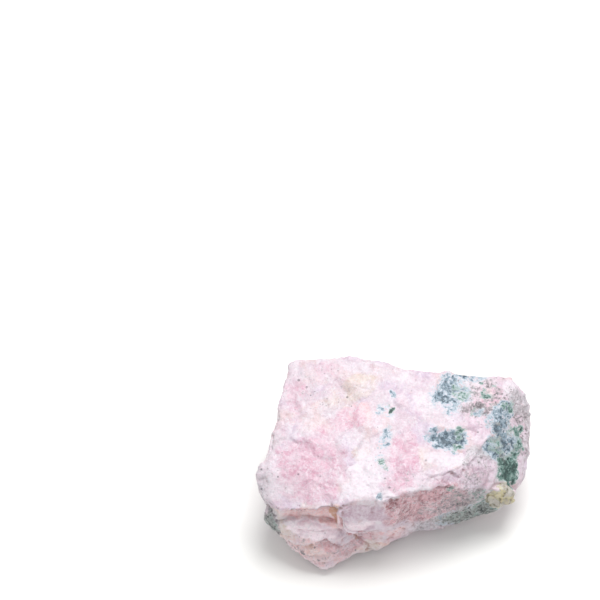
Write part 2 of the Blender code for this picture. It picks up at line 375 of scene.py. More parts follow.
@dataclass(frozen=True)
class WrappedGrid:
    """A closed grid of quads on a box that tapers towards its foot, with no seams and no poles.

    Attributes:
        low: The box's lowest corner, in millimetres.
        high: The box's highest corner.
        counts: How many quads lie along X, Y and Z.
        foot: The share of the box's width and depth that is left at its foot.
        full: The share of the height at which it has its full width.
    """

    low: Triple = (-27.0, -17.5, 0.0)
    high: Triple = (26.5, 17.5, 22.0)
    counts: tuple[int, int, int] = (176, 120, 96)
    foot: float = 0.62
    full: float = 0.55

    def side(self, axis: int, far: bool) -> np.ndarray:
        """One side's lattice points on a grid of its own two parameters.

        Args:
            axis: The axis that the side faces along.
            far: Whether it is the side at that axis's high end.

        Returns:
            Whole-numbered lattice points, as rows by columns by three, wound so that quads face outwards.
        """
        first, second = (axis + 1) % 3, (axis + 2) % 3
        rows, columns = (np.arange(self.counts[along] + 1) for along in (first, second))
        u, v = np.meshgrid(rows, columns, indexing="ij")
        points = np.zeros(u.shape + (3,), dtype=np.int64)
        points[..., first], points[..., second] = u, v
        points[..., axis] = self.counts[axis] if far else 0
        return points if far else points[:, ::-1]

    def mesh(self) -> tuple[np.ndarray, np.ndarray]:
        """The box's points and quads.

        Each side is a grid of two parameters. Points that two sides share have the same lattice numbers,
        so they become one point. The box narrows towards its foot in proportion to the depth below its top.

        Returns:
            The points, one row each, and the quads, four point numbers each.
        """
        code = np.array([(self.counts[1] + 1) * (self.counts[2] + 1), self.counts[2] + 1, 1])
        found, corners = [], []
        start = 0
        for axis in range(3):
            for far in (False, True):
                side = self.side(axis, far)
                rows, columns = side.shape[:2]
                number = start + np.arange(rows * columns).reshape(rows, columns)
                quad = np.stack([number[:-1, :-1], number[1:, :-1], number[1:, 1:], number[:-1, 1:]], axis=-1)
                corners.append(quad.reshape(-1, 4))
                found.append(side.reshape(-1, 3))
                start += rows * columns
        lattice_points = np.concatenate(found)
        kept, place = np.unique(lattice_points @ code, return_inverse=True)
        points = np.stack([kept // code[0], kept % code[0] // code[1], kept % code[1]], axis=1)
        share = points / np.array(self.counts)
        low, high = np.array(self.low), np.array(self.high)
        middle = (low + high) / 2
        placed = low + share * (high - low)
        width = self.foot + (1 - self.foot) * fade(share[:, 2], 0, self.full)
        placed[:, :2] = middle[:2] + (placed[:, :2] - middle[:2]) * width[:, None]
        return placed, place.reshape(-1)[np.concatenate(corners)]


def neighbour_mean(points: np.ndarray, quads: np.ndarray) -> np.ndarray:
    """The mean of each point's neighbours along the quads' edges."""
    start, end = np.concatenate([quads[:, [k, (k + 1) % 4]] for k in range(4)]).T
    count = np.bincount(start, minlength=len(points))
    total = np.stack([np.bincount(start, points[end, axis], len(points)) for axis in range(3)], axis=1)
    return total / count[:, None]


def wear_field(points: np.ndarray, quads: np.ndarray, spread: int, height: float) -> np.ndarray:
    """Where the surface is proud or sunk: how far each point stands above the smoothed surface round it.

    Args:
        points: The surface's points in millimetres.
        quads: Its quads.
        spread: How many times the surface is smoothed.
        height: The height that counts as 1.

    Returns:
        A number from -1 in a hollow to 1 on an edge, at each point.
    """
    smooth = points
    for _ in range(spread):
        smooth = neighbour_mean(smooth, quads)
    proud = np.sum((points - smooth) * point_normals(points, quads), axis=1)
    return np.clip(proud / height, -1, 1)


def point_normals(points: np.ndarray, quads: np.ndarray) -> np.ndarray:
    """Each point's outward unit normal: the mean of its quads' normals, weighted by their areas."""
    across = np.cross(points[quads[:, 2]] - points[quads[:, 0]], points[quads[:, 3]] - points[quads[:, 1]])
    total = np.zeros_like(points)
    for axis in range(3):
        for corner in range(4):
            total[:, axis] += np.bincount(quads[:, corner], across[:, axis], len(points))
    return total / np.maximum(np.linalg.norm(total, axis=1, keepdims=True), TINY)


@dataclass(frozen=True)
class Breakage:
    """How the stone's surface broke: hackly facets and swells, the lobe's ledges, and the pit in the top.

    Attributes:
        facet_layers: The layers of facets.
        swell_layers: The layers of swells.
        bends: The noise that makes the facets' edges wander.
        foot_fade: The height above the resting plane over which the relief comes in.
        ledge_crest: The height of one ledge's crest, in millimetres.
        ledge_pitch: The height from one ledge to the next.
        ledge_depth: How far a ledge stands out.
        ledge_slope: How much the ledges climb along X, from ledge_middle_x.
        ledge_middle_x: Where along X ledge_crest holds.
        ledge_lip: The share of the pitch over which a ledge comes out; it goes back in over the rest.
        ledge_wander: The noise that makes the crests wander up and down.
        ledge_uneven: The noise that makes stretches of a ledge deeper; it has a share in place of a height.
        ledge_front_y: Where along Y the ledges begin and are full; the next three are the same at the
            left, the top and the foot.
        pit_centre: The middle of the pit in the top.
        pit_radii: Its half widths.
        pit_depth: Its depth.
        pit_edge: Where its rim begins and where it is full, in radii.
        pit_wander: The noise that makes its rim wander; it has radii in place of a height.
    """

    facet_layers: tuple[Layer, ...] = ((8.0, 0.38, 3), (3.4, 0.24, 8))
    swell_layers: tuple[Layer, ...] = ((14.0, 0.45, 21), (5.0, 0.28, 22))
    bends: tuple[Layer, ...] = ((6.0, 1.3, 41),)
    foot_fade: float = 1.5
    ledge_crest: float = 8.0
    ledge_pitch: float = 2.4
    ledge_depth: float = 0.38
    ledge_slope: float = 0.15
    ledge_middle_x: float = -16.0
    ledge_lip: float = 0.8
    ledge_wander: tuple[Layer, ...] = ((6.0, 1.2, 31), (2.5, 0.5, 32))
    ledge_uneven: Layer = (5.0, 0.6, 33)
    ledge_front_y: tuple[float, float] = (-12.0, -14.0)
    ledge_left_x: tuple[float, float] = (-6.5, -9.5)
    ledge_top_z: tuple[float, float] = (12.5, 10.5)
    ledge_foot_z: tuple[float, float] = (0.5, 2.0)
    pit_centre: Triple = (10.0, -0.7, 20.3)
    pit_radii: Triple = (3.7, 2.7, 3.0)
    pit_depth: float = 0.8
    pit_edge: tuple[float, float] = (1.25, 0.4)
    pit_wander: Layer = (2.2, 0.25, 34)

    def ledges(self, points: np.ndarray) -> np.ndarray:
        """Overhanging steps across the lobe: a leaning wave of the height, with crests warped by noise."""
        x, y, z = points.T
        wander = sum(height * swell(points, size, seed) for size, height, seed in self.ledge_wander)
        level = z - self.ledge_slope * (x - self.ledge_middle_x) + wander
        part = (self.ledge_crest - level) / self.ledge_pitch % 1
        step = np.where(part < self.ledge_lip, part / self.ledge_lip, (1 - part) / (1 - self.ledge_lip)) - 0.5
        across = fade(y, *self.ledge_front_y) * fade(x, *self.ledge_left_x)
        upwards = fade(z, *self.ledge_top_z) * fade(z, *self.ledge_foot_z)
        size, uneven, seed = self.ledge_uneven
        return self.ledge_depth * step * across * upwards * (uneven + uneven * swell(points, size, seed))

    def pit(self, points: np.ndarray) -> np.ndarray:
        """A shallow dish: the depth times a smooth fade of the distance from its centre, in radii."""
        reach = np.linalg.norm((points - self.pit_centre) / self.pit_radii, axis=1)
        size, wander, seed = self.pit_wander
        return -self.pit_depth * fade(reach + wander * swell(points, size, seed), *self.pit_edge)

    def relief(self, points: np.ndarray) -> np.ndarray:
        """How far the broken surface stands out at each point: the sum of the layers, ledges and pit."""
        total = np.zeros(len(points))
        bent = bend(points, self.bends)
        for size, height, seed in self.facet_layers:
            total += height * facets(bent, size, seed)
        for size, height, seed in self.swell_layers:
            total += height * swell(points, size, seed)
        return (total + self.ledges(points) + self.pit(points)) * fade(points[:, 2], 0, self.foot_fade)


@dataclass(frozen=True)
class Chips:
    """Small bites out of the stone's sharp edges.

    Attributes:
        spread: How many smoothings the surface is held against to find its edges.
        edge: How far a point stands above the smoothed surface where an edge begins and where it is full.
        bites: The layers of bites.
        share: The noise above which a bite begins and where it is full.
        foot_fade: The height above the resting plane over which the bites come in.
    """

    spread: int = 44
    edge: tuple[float, float] = (0.04, 0.42)
    bites: tuple[Layer, ...] = ((4.2, 0.7, 211), (1.6, 0.28, 221))
    share: tuple[float, float] = (-0.05, 0.3)
    foot_fade: float = 3.0

    def moves(self, points: np.ndarray, quads: np.ndarray) -> np.ndarray:
        """How the bites move each point: in, along the smoothed surface's normal, so that no edge folds over.

        They go as deep as the noise there says, times how sharp an edge the point is on.

        Args:
            points: The surface's points in millimetres.
            quads: Its quads.

        Returns:
            The move of each point, in millimetres.
        """
        smooth = points
        for _ in range(self.spread):
            smooth = (smooth + neighbour_mean(smooth, quads)) / 2
        proud = np.sum((points - smooth) * point_normals(points, quads), axis=1)
        total = np.zeros(len(points))
        for size, depth, seed in self.bites:
            total -= depth * fade(cloud(points, size, seed), *self.share)
        total *= fade(proud, *self.edge) * fade(points[:, 2], 0, self.foot_fade)
        return total[:, None] * point_normals(smooth, quads)


@dataclass(frozen=True)
class Step:
    """A crisp broken step along a line: the surface stands out on one side and drops away on the other.

    Attributes:
        name: What it is on the stone.
        path: Points along the line, in millimetres.
        towards: Roughly the way from the line to the side that stands out.
        rise: How far that side stands out at the line.
        drop: How deep the other side is at the line.
        reach: How far from the line the rise and the drop die away.
        turnover: How far to each side of the line one gives way to the other.
    """

    name: str
    path: tuple[Triple, ...]
    towards: Triple
    rise: float
    drop: float
    reach: tuple[float, float]
    turnover: float = 0.16

    def height(self, points: np.ndarray) -> np.ndarray:
        """How far the step moves each point out.

        The height is the rise, or less the drop, times an exponential fade of the distance to the
        nearest point of the line; which of the two it is follows from the side that the point is on.

        Args:
            points: The surface's points, bent by noise so that the line is jagged.

        Returns:
            The height at each point, in millimetres.
        """
        away = away_from_path(points, self.path)
        nearest = np.linalg.norm(away, axis=1)
        side = away @ (np.array(self.towards) / np.linalg.norm(self.towards))
        out = self.rise * np.exp(-nearest / self.reach[0])
        down = -self.drop * np.exp(-nearest / self.reach[1])
        return down + (out - down) * fade(side, -self.turnover, self.turnover)


STEPS = (
    Step("plate edge", (
        (-12, -14.6, 17.4), (-12.3, -15.4, 16.4), (-12.1, -16, 13.2), (-11.7, -16.2, 11.5),
        (-10.4, -16.3, 10.1), (-8.2, -16.3, 9.6), (-6, -16.1, 9.2), (-3.5, -15.6, 9.1), (-1, -14.7, 9.6),
    ), (0.7, 0, 0.7), 0.1, 0.95, (1.2, 0.9)),
    Step("lip above the recess", (
        (-23, -13.7, 14.6), (-20.5, -15, 15), (-17.5, -15, 16), (-14, -14.5, 17),
        (-11.6, -14.4, 17.6),
    ), (0, 0.2, 1), 0.15, 0.6, (1, 1.2)),
    Step("rim of the lobe's shelf", (
        (-22.2, -13.6, 10.4), (-20.7, -13.5, 11.4), (-19.1, -13.3, 11.7), (-17.1, -13.4, 11.6),
        (-15.2, -13.9, 11.9), (-12.9, -14.2, 11.7),
    ), (0, -0.5, -1), 0.45, 0.75, (1.6, 0.8)),
    Step("upper ledge", (
        (-20.1, -15.3, 6.7), (-18.7, -16, 7), (-17.1, -16.4, 7.6), (-15.6, -16.6, 8.6),
        (-13.8, -16.3, 8.6), (-12.3, -16.2, 8.1), (-10.9, -16.5, 7.4),
    ), (0, 0.3, 1), 0.65, 0.85, (1.5, 0.9)),
    Step("lower ledge", (
        (-20.3, -15.2, 4.4), (-19.1, -16.1, 4.7), (-17.7, -16.9, 4.9), (-16.3, -17.6, 4.8),
        (-14.8, -17.4, 5), (-13.2, -17.2, 5.6), (-11.7, -17.1, 6.3),
    ), (0, 0.3, 1), 0.5, 0.75, (1.2, 0.8)),
    Step("fold beside the lobe", (
        (-8.3, -14.6, 8.4), (-7.5, -14.6, 6.8), (-6.7, -14.7, 5.5), (-5.9, -14.9, 4.3),
    ), (-1, 0, 0.3), 0.35, 0.45, (1, 1)),
    Step("lip of the top's right-hand side", (
        (7, -9, 19.5), (9.5, -8, 19.5), (11.5, -7, 19.5), (13.5, -6, 19.5), (15.5, -3.5, 19.5),
        (17.5, -0.5, 20),
    ), (-0.4, 0.5, 0.7), 0.05, 0.32, (0.9, 1.5)),
    Step("rim of the shelf", (
        (4, -11.5, 19), (8.5, -10, 18), (11, -9.5, 17), (13.5, -9.5, 16), (15.5, -8.5, 15.5),
        (17.5, -7.5, 15),
    ), (0, 0.3, 1), 0.25, 0.55, (0.8, 1.2)),
    Step("foot of the front face", (
        (3.3, -11.8, 6.4), (8.4, -10.5, 9), (14.6, -9.2, 11.6), (17.5, -8, 13),
    ), (0, 0, 1), 0.35, 0.4, (1.2, 1.4)),
)


@dataclass(frozen=True)
class Grit:
    """The finest relief: sugary grains all over, and coarser crystals where a mineral calls for them.

    Attributes:
        layers: The layers of sugary grains.
        patchy: Size and seed of the noise that makes some parts smoother than others.
        patchy_range: The noise where a part is smoothest and where it is roughest.
        calm: The share of the grains' height that is left in the smoothest parts.
        steep_gain: How much coarser the grains are on the sides than on the top.
        hackle: The layers of the crests that roughen the sides.
        green: The grains of the green minerals.
        straw: The layers of the blocky straw-coloured crystals.
        plate_share: How much of the grains is left on the smooth plate.
        plate_centre: The plate's middle, in millimetres.
        plate_radii: Its half widths.
        plate_edge: Where its edge begins and where it is full, in radii.
        streaks: The fine ribs that run along the shelf.
        streak_stretch: How much closer or wider apart the ribs are along X, Y and Z.
        shelf_centre: The shelf's middle; its half widths and its edge follow.
        jagged: The noise that bends the crests and the steps' lines.
        foot_fade: The height above the resting plane over which the relief comes in.
    """

    layers: tuple[Layer, ...] = ((2.4, 0.12, 61), (1.15, 0.085, 71), (0.7, 0.045, 76))
    patchy: tuple[float, int] = (4.5, 161)
    patchy_range: tuple[float, float] = (-0.35, 0.35)
    calm: float = 0.45
    steep_gain: float = 0.55
    hackle: tuple[Layer, ...] = ((4.6, 0.36, 171), (1.7, 0.16, 181))
    green: Layer = (1.1, 0.22, 81)
    straw: tuple[Layer, ...] = ((2.3, 0.6, 94), (1.2, 0.28, 95), (0.7, 0.1, 96))
    plate_share: float = 0.35
    plate_centre: Triple = (-5.5, -16.0, 14.0)
    plate_radii: Triple = (6.5, 2.5, 5.0)
    plate_edge: tuple[float, float] = (1.1, 0.8)
    streaks: Layer = (0.8, 0.14, 101)
    streak_stretch: Triple = (0.55, 0.22, 1.1)
    shelf_centre: Triple = (13.5, -7.0, 17.5)
    shelf_radii: Triple = (7.0, 5.5, 3.2)
    shelf_edge: tuple[float, float] = (1.2, 0.7)
    jagged: tuple[Layer, ...] = ((2.2, 0.5, 141), (0.9, 0.26, 151))
    foot_fade: float = 0.8

    def relief(self, points: np.ndarray, upwards: np.ndarray,
               fields: dict[Mineral, np.ndarray]) -> np.ndarray:
        """How far the grains stand out: their layers, each scaled by where its mineral lies.

        Args:
            points: The surface's points in millimetres.
            upwards: How far each point's normal points up, from -1 to 1.
            fields: How much of each mineral there is at each point.

        Returns:
            The height at each point, in millimetres.
        """
        total = np.zeros(len(points))
        for size, height, seed in self.layers:
            total += height * facets(points, size, seed)
        grainy = self.calm + (1 - self.calm) * fade(cloud(points, *self.patchy), *self.patchy_range)
        steep = fade(upwards, LEVEL, STEEP)
        total *= grainy + self.steep_gain * steep
        bent = bend(points, self.jagged)
        for size, height, seed in self.hackle:
            total += height * cloud(bent, size, seed, crested=True) * steep * grainy
        plate = in_ellipsoid(points, self.plate_centre, self.plate_radii, self.plate_edge)
        total *= 1 - (1 - self.plate_share) * plate
        green = np.maximum(fields[Mineral.TEAL], fields[Mineral.MOSS])
        crystals = [(green, self.green)] + [(fields[Mineral.STRAW], layer) for layer in self.straw]
        for amount, (size, height, seed) in crystals:
            total += amount * height * facets(points, size, seed)
        size, height, seed = self.streaks
        shelf = in_ellipsoid(points, self.shelf_centre, self.shelf_radii, self.shelf_edge)
        total += shelf * height * cloud(points * self.streak_stretch, size, seed)
        for step in STEPS:
            total += step.height(bent)
        return total * fade(points[:, 2], 0, self.foot_fade)


# ---- The minerals ----


class Mineral(Enum):
    """The minerals and stains of the rock, some of which also carry painted shade or painted light; each
    value is the name of the mesh attribute that places it.
    """

    ROSE = "rose"
    LILAC = "lilac"
    MILK_AND_HIGHLIGHT = "milk_and_highlight"
    SAND = "sand"
    SALMON_AND_PAINTED_LIGHT = "salmon_and_painted_light"
    DUSK_AND_SHADE = "dusk_and_shade"
    PAINTED_SHEEN = "painted_sheen"
    GREY_AND_SHADE = "grey_and_shade"
    TEAL = "teal"
    MOSS = "moss"
    STRAW = "straw"
    RUST_AND_SHADE = "rust_and_shade"
    SPECK = "speck"
    SOOT = "soot"


@dataclass(frozen=True)
class Patch:
    """A cloud of one mineral, or of painted shade or light, round a point.

    Attributes:
        centre: Its middle, in millimetres.
        radii: Its half widths along X, Y and Z.
        strength: The share of the mineral at its middle.
        turn: How far it is turned about Z, in degrees.
        soft: The width of its edge, as a share of its radii.
    """

    centre: Triple
    radii: Triple
    strength: float = 1.0
    turn: float = 0.0
    soft: float = 0.7

    def share(self, points: np.ndarray) -> np.ndarray:
        """The share of the mineral at each point: a smooth fade of the distance, counted in radii."""
        angle = math.radians(self.turn)
        away = points - np.array(self.centre)
        along = away[:, 0] * math.cos(angle) + away[:, 1] * math.sin(angle)
        across = away[:, 1] * math.cos(angle) - away[:, 0] * math.sin(angle)
        reach = np.linalg.norm(np.stack([along, across, away[:, 2]], axis=1) / np.array(self.radii), axis=1)
        return self.strength * fade(reach, 1 + self.soft / 2, 1 - self.soft / 2)


# Each mineral's patches: a row holds the centre and the radii of one, and then its strength, its turn and its
# softness as far as they aren't the usual ones.
PATCH_ROWS: dict[Mineral, tuple[tuple, ...]] = {
    # the rose-pink core that shows in the top, spots among the grains at the right, and patches on the sides
    Mineral.ROSE: (
        ((-17.3, -5.3, 19), (7.6, 6, 6), 0.95, 10), ((-19.5, -9, 17.5), (4.5, 3, 4), 0.8),
        ((-14.5, -10.5, 18), (3.5, 3, 4), 0.7), ((-9.9, 3.4, 21), (4.8, 2.8, 4), 0.8, 30),
        ((-13.5, 1, 20.6), (3.5, 2.5, 4), 0.6), ((-13.5, 14.5, 22.5), (3, 2, 3), 0.6),
        ((-20, 10, 21.3), (2.8, 4, 3), 0.6), ((2.4, -3.5, 20.6), (3, 5, 4), 0.85),
        ((0.4, -9.2, 19.5), (3.6, 2.3, 3), 0.75, 20), ((5, 5.5, 21.5), (1.6, 3.5, 3), 0.35),
        ((19.6, 10.9, 21.4), (1.3, 2.1, 2.5), 1, 0, 0.4), ((16.9, 7.8, 21.3), (2.2, 2.4, 2.5), 0.85),
        ((19.4, 4.3, 20.4), (1.6, 2.6, 2.5), 0.75), ((-23.6, 1, 12), (4, 8, 4.5), 0.8, 0, 1.2),
        ((-13, 18, 15), (6, 4, 5), 0.95, 0, 1), ((-7, 16, 7), (5, 4, 3), 0.8, 0, 1),
        ((25, 5, 8), (3, 6, 4), 0.8, 0, 1), ((-2, 0, 0), (12, 9, 3), 0.8, 0, 1),
    ),
    # round the rose in the top, on the shelf, the plate on the front, and spots on the sides
    Mineral.LILAC: (
        ((-17, 13.5, 22.3), (3.4, 3, 3), 0.5), ((17.2, 2.3, 20), (3.2, 2.2, 3), 0.95),
        ((2, -6, 20.5), (3, 4, 3), 0.9), ((24.3, 6.3, 17.2), (1.1, 1.2, 1.6), 0.9),
        ((25.3, 0.1, 12.4), (1.3, 3, 2.4), 0.7), ((16.5, -5.8, 16.8), (3.4, 3, 3), 0.9),
        ((12.5, -8, 18), (4.5, 2.4, 3), 0.7, 25), ((-6, -15.5, 14), (6.5, 3, 5), 1, 0, 0.4),
        ((24.2, 5.2, 17.4), (1.2, 1.2, 1.4), 0.9), ((15, 13, 7), (5, 4, 4), 0.8, 0, 1),
        ((23.5, -1, 7), (3, 4, 3.5), 0.8, 0, 1),
    ),
    # clouds in the top; its lip and crests and the lobe's rim, partly milky rock and partly painted
    # highlight; painted glints in the pit and the green; and patches on the left end and the back
    Mineral.MILK_AND_HIGHLIGHT: (
        ((-3.6, -15.4, 12.4), (1.1, 1.2, 0.9), 1), ((-21.6, -13.6, 11), (2.2, 1.6, 1), 0.6),
        ((-8.4, -11.6, 19), (2.4, 1.6, 2), 0.9, 20), ((-3.2, -12.2, 19), (3.4, 1.1, 1.6), 0.85),
        ((4, -11, 19.4), (3.2, 0.9, 1.4), 0.8, 10), ((-4, 2.1, 21.1), (2.6, 0.7, 1.5), 0.8, -45),
        ((-7, -6.9, 19.5), (3.2, 0.7, 1.5), 0.85, 20), ((-24.3, -6, 17.5), (1.8, 4.5, 2.6), 0.75),
        ((-6.5, -9.5, 19.2), (4.5, 2.6, 3), 1, 25), ((-4.5, -4.5, 20), (3.6, 3.4, 3), 0.6),
        ((1.1, 13.1, 22.3), (1, 1.6, 2), 1), ((6.2, 7.5, 21.8), (3.4, 3, 3), 0.7, 30),
        ((9.5, -4.8, 20), (4, 1.9, 3), 0.8), ((-2.2, 3.5, 21), (2.6, 4, 3), 0.55),
        ((-15, 5, 21), (4, 3, 3), 0.4), ((-23, -9.8, 16), (2.6, 3, 3), 0.6),
        ((22.8, 12, 20.9), (2.2, 2.2, 2.4), 0.8), ((14.6, 12.8, 21.8), (2.4, 1.6, 2), 0.7),
        ((11.4, -1.4, 19.2), (0.55, 0.5, 0.8), 1, 0, 0.3), ((23.7, -2.8, 12.1), (0.5, 0.5, 0.7), 1, 0, 0.3),
        ((-23.5, 9, 17), (3, 4.5, 3), 0.9, 0, 1), ((-3, 17.5, 11), (3, 3, 6), 0.9, 0, 1),
        ((7.5, 15.5, 18.5), (4.5, 3, 2.4), 0.9, 0, 1),
    ),
    # clouds in the top, the lobe's ledges, and patches on the left end and the back
    Mineral.SAND: (
        ((-4.6, -15, 3.6), (4, 2.4, 2.2), 0.75), ((-16.5, -17, 6), (5, 2.6, 1), 0.7),
        ((-21, -14.6, 6.5), (2.6, 2, 3), 0.8), ((-7.5, 11, 22.6), (5, 3.6, 3), 0.75, 20),
        ((-11, 7.5, 21.8), (3, 2.4, 3), 0.5), ((-7, -4.5, 20), (2.4, 1.8, 2), 0.6),
        ((5.5, -4.5, 20.4), (2, 3, 2), 0.5), ((12.5, -5.8, 19.4), (2.4, 1.4, 2), 0.6),
        ((-14, -13, 16.8), (6.5, 1.4, 1.2), 0.4), ((-23.2, -13, 9), (2.2, 2.6, 4.4), 1),
        ((-21, 14, 17), (4, 4, 4), 0.7, 0, 1), ((-5, 18, 19), (5, 3, 3), 0.8, 0, 1),
    ),
    # the recess and the lobe, salmon rock kept light as painted light against their shade, and a patch each
    # in the top and on the back
    Mineral.SALMON_AND_PAINTED_LIGHT: (
        ((-1.5, -14, 6), (5, 2.6, 3), 0.5), ((-15.8, -13.8, 12.8), (6.8, 3, 2.8), 0.9),
        ((-15.5, -16.5, 4.5), (9, 5, 4.6), 0.6), ((-8.6, 4.4, 21.3), (4.2, 2.6, 3), 0.75, 20),
        ((4, 16, 9), (8, 4, 5), 0.8, 0, 1),
    ),
    # the dusky front face; painted shade in the folds beside the lobe, under the plate's bottom edge, under
    # the lip above the recess and under the lobe's ledges; and patches on the left end and the back
    Mineral.DUSK_AND_SHADE: (
        ((12, -8.4, 18), (4, 1.6, 2), 0.35, 20), ((0.9, -13.4, 15), (4.8, 3, 4.6), 1, 0, 0.9),
        ((5.9, -11.5, 13.2), (6, 3, 5.6), 0.95, 0, 0.9), ((11, -10, 13.6), (5.4, 3, 4.2), 0.75, 0, 0.9),
        ((-6, -14.7, 7.2), (2.4, 2, 2.2), 0.8), ((-5.5, -15.2, 9), (3.4, 1.6, 1), 0.7),
        ((-13.6, -13.6, 15.2), (3.4, 2.2, 1), 0.4), ((-9.4, -16, 6), (2.6, 2.4, 2.4), 0.55),
        ((-12.6, -16.6, 7.4), (2.4, 2, 1.6), 0.4), ((12, -9.6, 5.6), (6, 3, 3.6), 0.5),
        ((0.6, -13.6, 12.6), (2.4, 2.4, 2.6), 1), ((-23, 6.5, 7), (4, 5, 3), 0.6, 0, 1.1),
        ((8, 15.5, 5), (6, 4, 2.6), 0.7, 0, 1), ((-7.6, -15.4, 9.6), (3.2, 1.6, 0.7), 0.9),
    ),
    # painted sheen and light, lighter than the rock's own colour: the plate's lower half and the lobe's shelf
    Mineral.PAINTED_SHEEN: (
        ((-7.6, -15.8, 12), (3.8, 2.2, 1.7), 0.8), ((-17.3, -15.2, 9.7), (5.2, 2.8, 2), 1.1, 0, 0.5),
    ),
    # the right-hand stretch of the front, the shelf, the rims, the ends and the underside, and painted shade
    # on the slope below the top's right-hand lip
    Mineral.GREY_AND_SHADE: (
        ((-19, 12, 22), (5, 5, 3), 0.36, 0, 1), ((15.4, -4.4, 18), (4, 2.8, 2.4), 1, 45),
        ((23.9, 9.1, 19.6), (2.2, 3, 2.6), 1.1), ((26, 9, 16.5), (1.4, 3.4, 4.5), 0.8),
        ((26.2, 2, 12), (1.4, 6, 5), 0.6), ((13, -9.6, 11), (6.6, 3.2, 6), 0.65),
        ((13.8, -9.1, 5.6), (9, 3.2, 4.6), 1.1), ((6, -11, 5), (4.8, 3, 2.6), 0.75),
        ((-25.5, -7, 13.5), (3, 6, 5), 0.7), ((-24.4, -12.2, 9.4), (2, 2.6, 4), 0.8),
        ((-21, -6, 4), (4, 6, 3), 0.8, 0, 1), ((22, 12, 10), (6, 4, 6), 0.8, 0, 1),
        ((20, 3, 3), (5, 6, 2.6), 0.8, 0, 1),
    ),
    # blue-green grains: the row of spots, the pit, the fans behind it, the band at the right, and the foot
    Mineral.TEAL: (
        ((-2.4, 5.8, 21.3), (1.3, 1.2, 1.5), 0.35), ((-0.2, 8.9, 22), (0.7, 1.2, 1.5), 0.75),
        ((-1.1, 0.9, 20.8), (1.1, 1.6, 1.5), 0.7), ((-2.7, -0.8, 20.3), (1.3, 1.5, 1.5), 0.5),
        ((-2, -5.4, 20.1), (1.2, 1.6, 1.5), 0.3), ((-4.4, -12.2, 19.2), (0.7, 0.9, 1.5), 0.5),
        ((9.2, -0.1, 19.8), (2.8, 2, 2.4), 1.1, 0, 0.9), ((11.6, -0.4, 19.6), (2.2, 2.2, 2.4), 1.1, 0, 0.9),
        ((10.8, 9.2, 21.6), (3.6, 4.6, 3), 0.5, -12), ((11, 11.9, 21.8), (1.7, 2, 2), 0.95),
        ((9.4, 9.8, 21.5), (1.9, 1.2, 2), 0.85, 40), ((11, 8.1, 21.4), (2.2, 1.5, 2), 0.8),
        ((17.4, 5, 20.4), (1.1, 1, 1.5), 0.65), ((21.6, 6.8, 20.4), (1.6, 2.2, 2), 0.9),
        ((20.9, 4.4, 19.8), (2, 2.4, 2.2), 0.9), ((20.7, 2, 18.6), (2.6, 2.4, 2.6), 0.95),
        ((19.5, -0.6, 17.9), (2.7, 2.4, 2.6), 1), ((22.4, 0.8, 16.2), (2.6, 2.8, 2.8), 0.85),
        ((13.8, -9.1, 6.6), (7.5, 3.2, 3.8), 0.42), ((-22, 13.5, 8.5), (3.5, 4, 3.4), 0.7, 0, 1),
        ((14, 15, 17.5), (4.4, 3, 4.6), 0.75, 0, 1), ((12, 2, 0), (5, 5, 4), 0.7, 0, 1),
    ),
    # dark green grains in the same places, and spots of their own
    Mineral.MOSS: (
        ((10.9, -10.1, 16), (1.6, 1.4, 0.7), 0.4), ((-1.5, 6.2, 21.4), (0.45, 0.55, 1.5), 1.2, 0, 0.3),
        ((-1.7, -6, 20.1), (0.75, 0.95, 1.5), 0.5), ((12, 1.5, 20.2), (1.8, 1.3, 1.5), 0.75),
        ((11.2, -1.9, 19.4), (1.5, 0.8, 1.5), 0.55), ((12.8, 9.4, 21.6), (0.9, 2, 1.5), 0.7, 20),
        ((11.8, 11.2, 21.7), (0.8, 1.6, 1.5), 0.45), ((14.2, 10.9, 21.7), (1.1, 0.9, 1.5), 0.4),
        ((16.1, 12.6, 21.7), (0.4, 0.45, 1), 1, 0, 0.3), ((17.2, 10.4, 21.4), (1.3, 1.1, 1.5), 0.5),
        ((18.9, 12.5, 21.4), (0.9, 0.7, 1), 0.55), ((16.1, 5.2, 20.5), (0.7, 1.4, 1.5), 0.65),
        ((22.4, 7.7, 20.3), (1.1, 1.4, 2), 0.65), ((19.2, -0.3, 18.3), (1.8, 1.8, 1.8), 0.6),
        ((23.9, 4.2, 16.8), (1, 1.4, 1.7), 0.8), ((22.4, 4.1, 18), (0.8, 1, 1.2), 0.7),
        ((24.2, 1.9, 15.1), (1.1, 1.6, 1.8), 0.75), ((23.4, 0, 14.2), (1.5, 2, 2), 0.85),
        ((21, -2.8, 14), (4.2, 3.2, 3.3), 1.1, 0, 0.5), ((16.6, -8.3, 7.2), (3.4, 2.4, 3), 0.92),
        ((12.6, -9.4, 6.2), (3.8, 2.2, 2.4), 0.8), ((16.4, -8.1, 12.6), (2.8, 2, 2.4), 0.34),
        ((-24.8, -12, 7.4), (1.8, 2.4, 3.2), 0.42, 0, 1.1), ((18.5, 14.5, 14.5), (3.2, 3, 4.6), 0.7, 0, 1),
    ),
    # the knot of crystals at the right of the front
    Mineral.STRAW: (
        ((21.6, -6.9, 10.4), (3.9, 2.2, 3.7), 1, 0, 0.25),
    ),
    # stains in the cracks, and painted shade under the lobe's ledges, in the fold and beside the plate's left
    # edge
    Mineral.RUST_AND_SHADE: (
        ((-13.5, -17.6, 4.2), (3, 1.6, 0.7), 0.4), ((-17.5, -16.8, 6.6), (3, 1.6, 0.6), 0.35),
        ((-11.9, -13.8, 14.4), (0.9, 1.8, 3.2), 0.95), ((-7.6, -14.8, 7.8), (0.8, 1.4, 1.8), 0.6),
        ((-8.5, -4.4, 20), (1.1, 1.4, 1), 0.5), ((13.3, -0.4, 19.8), (0.4, 1.6, 1), 0.85),
        ((12.1, -2.8, 19.5), (1.2, 0.45, 1), 0.6), ((13.4, 11.8, 21.7), (0.9, 1.3, 1), 0.45),
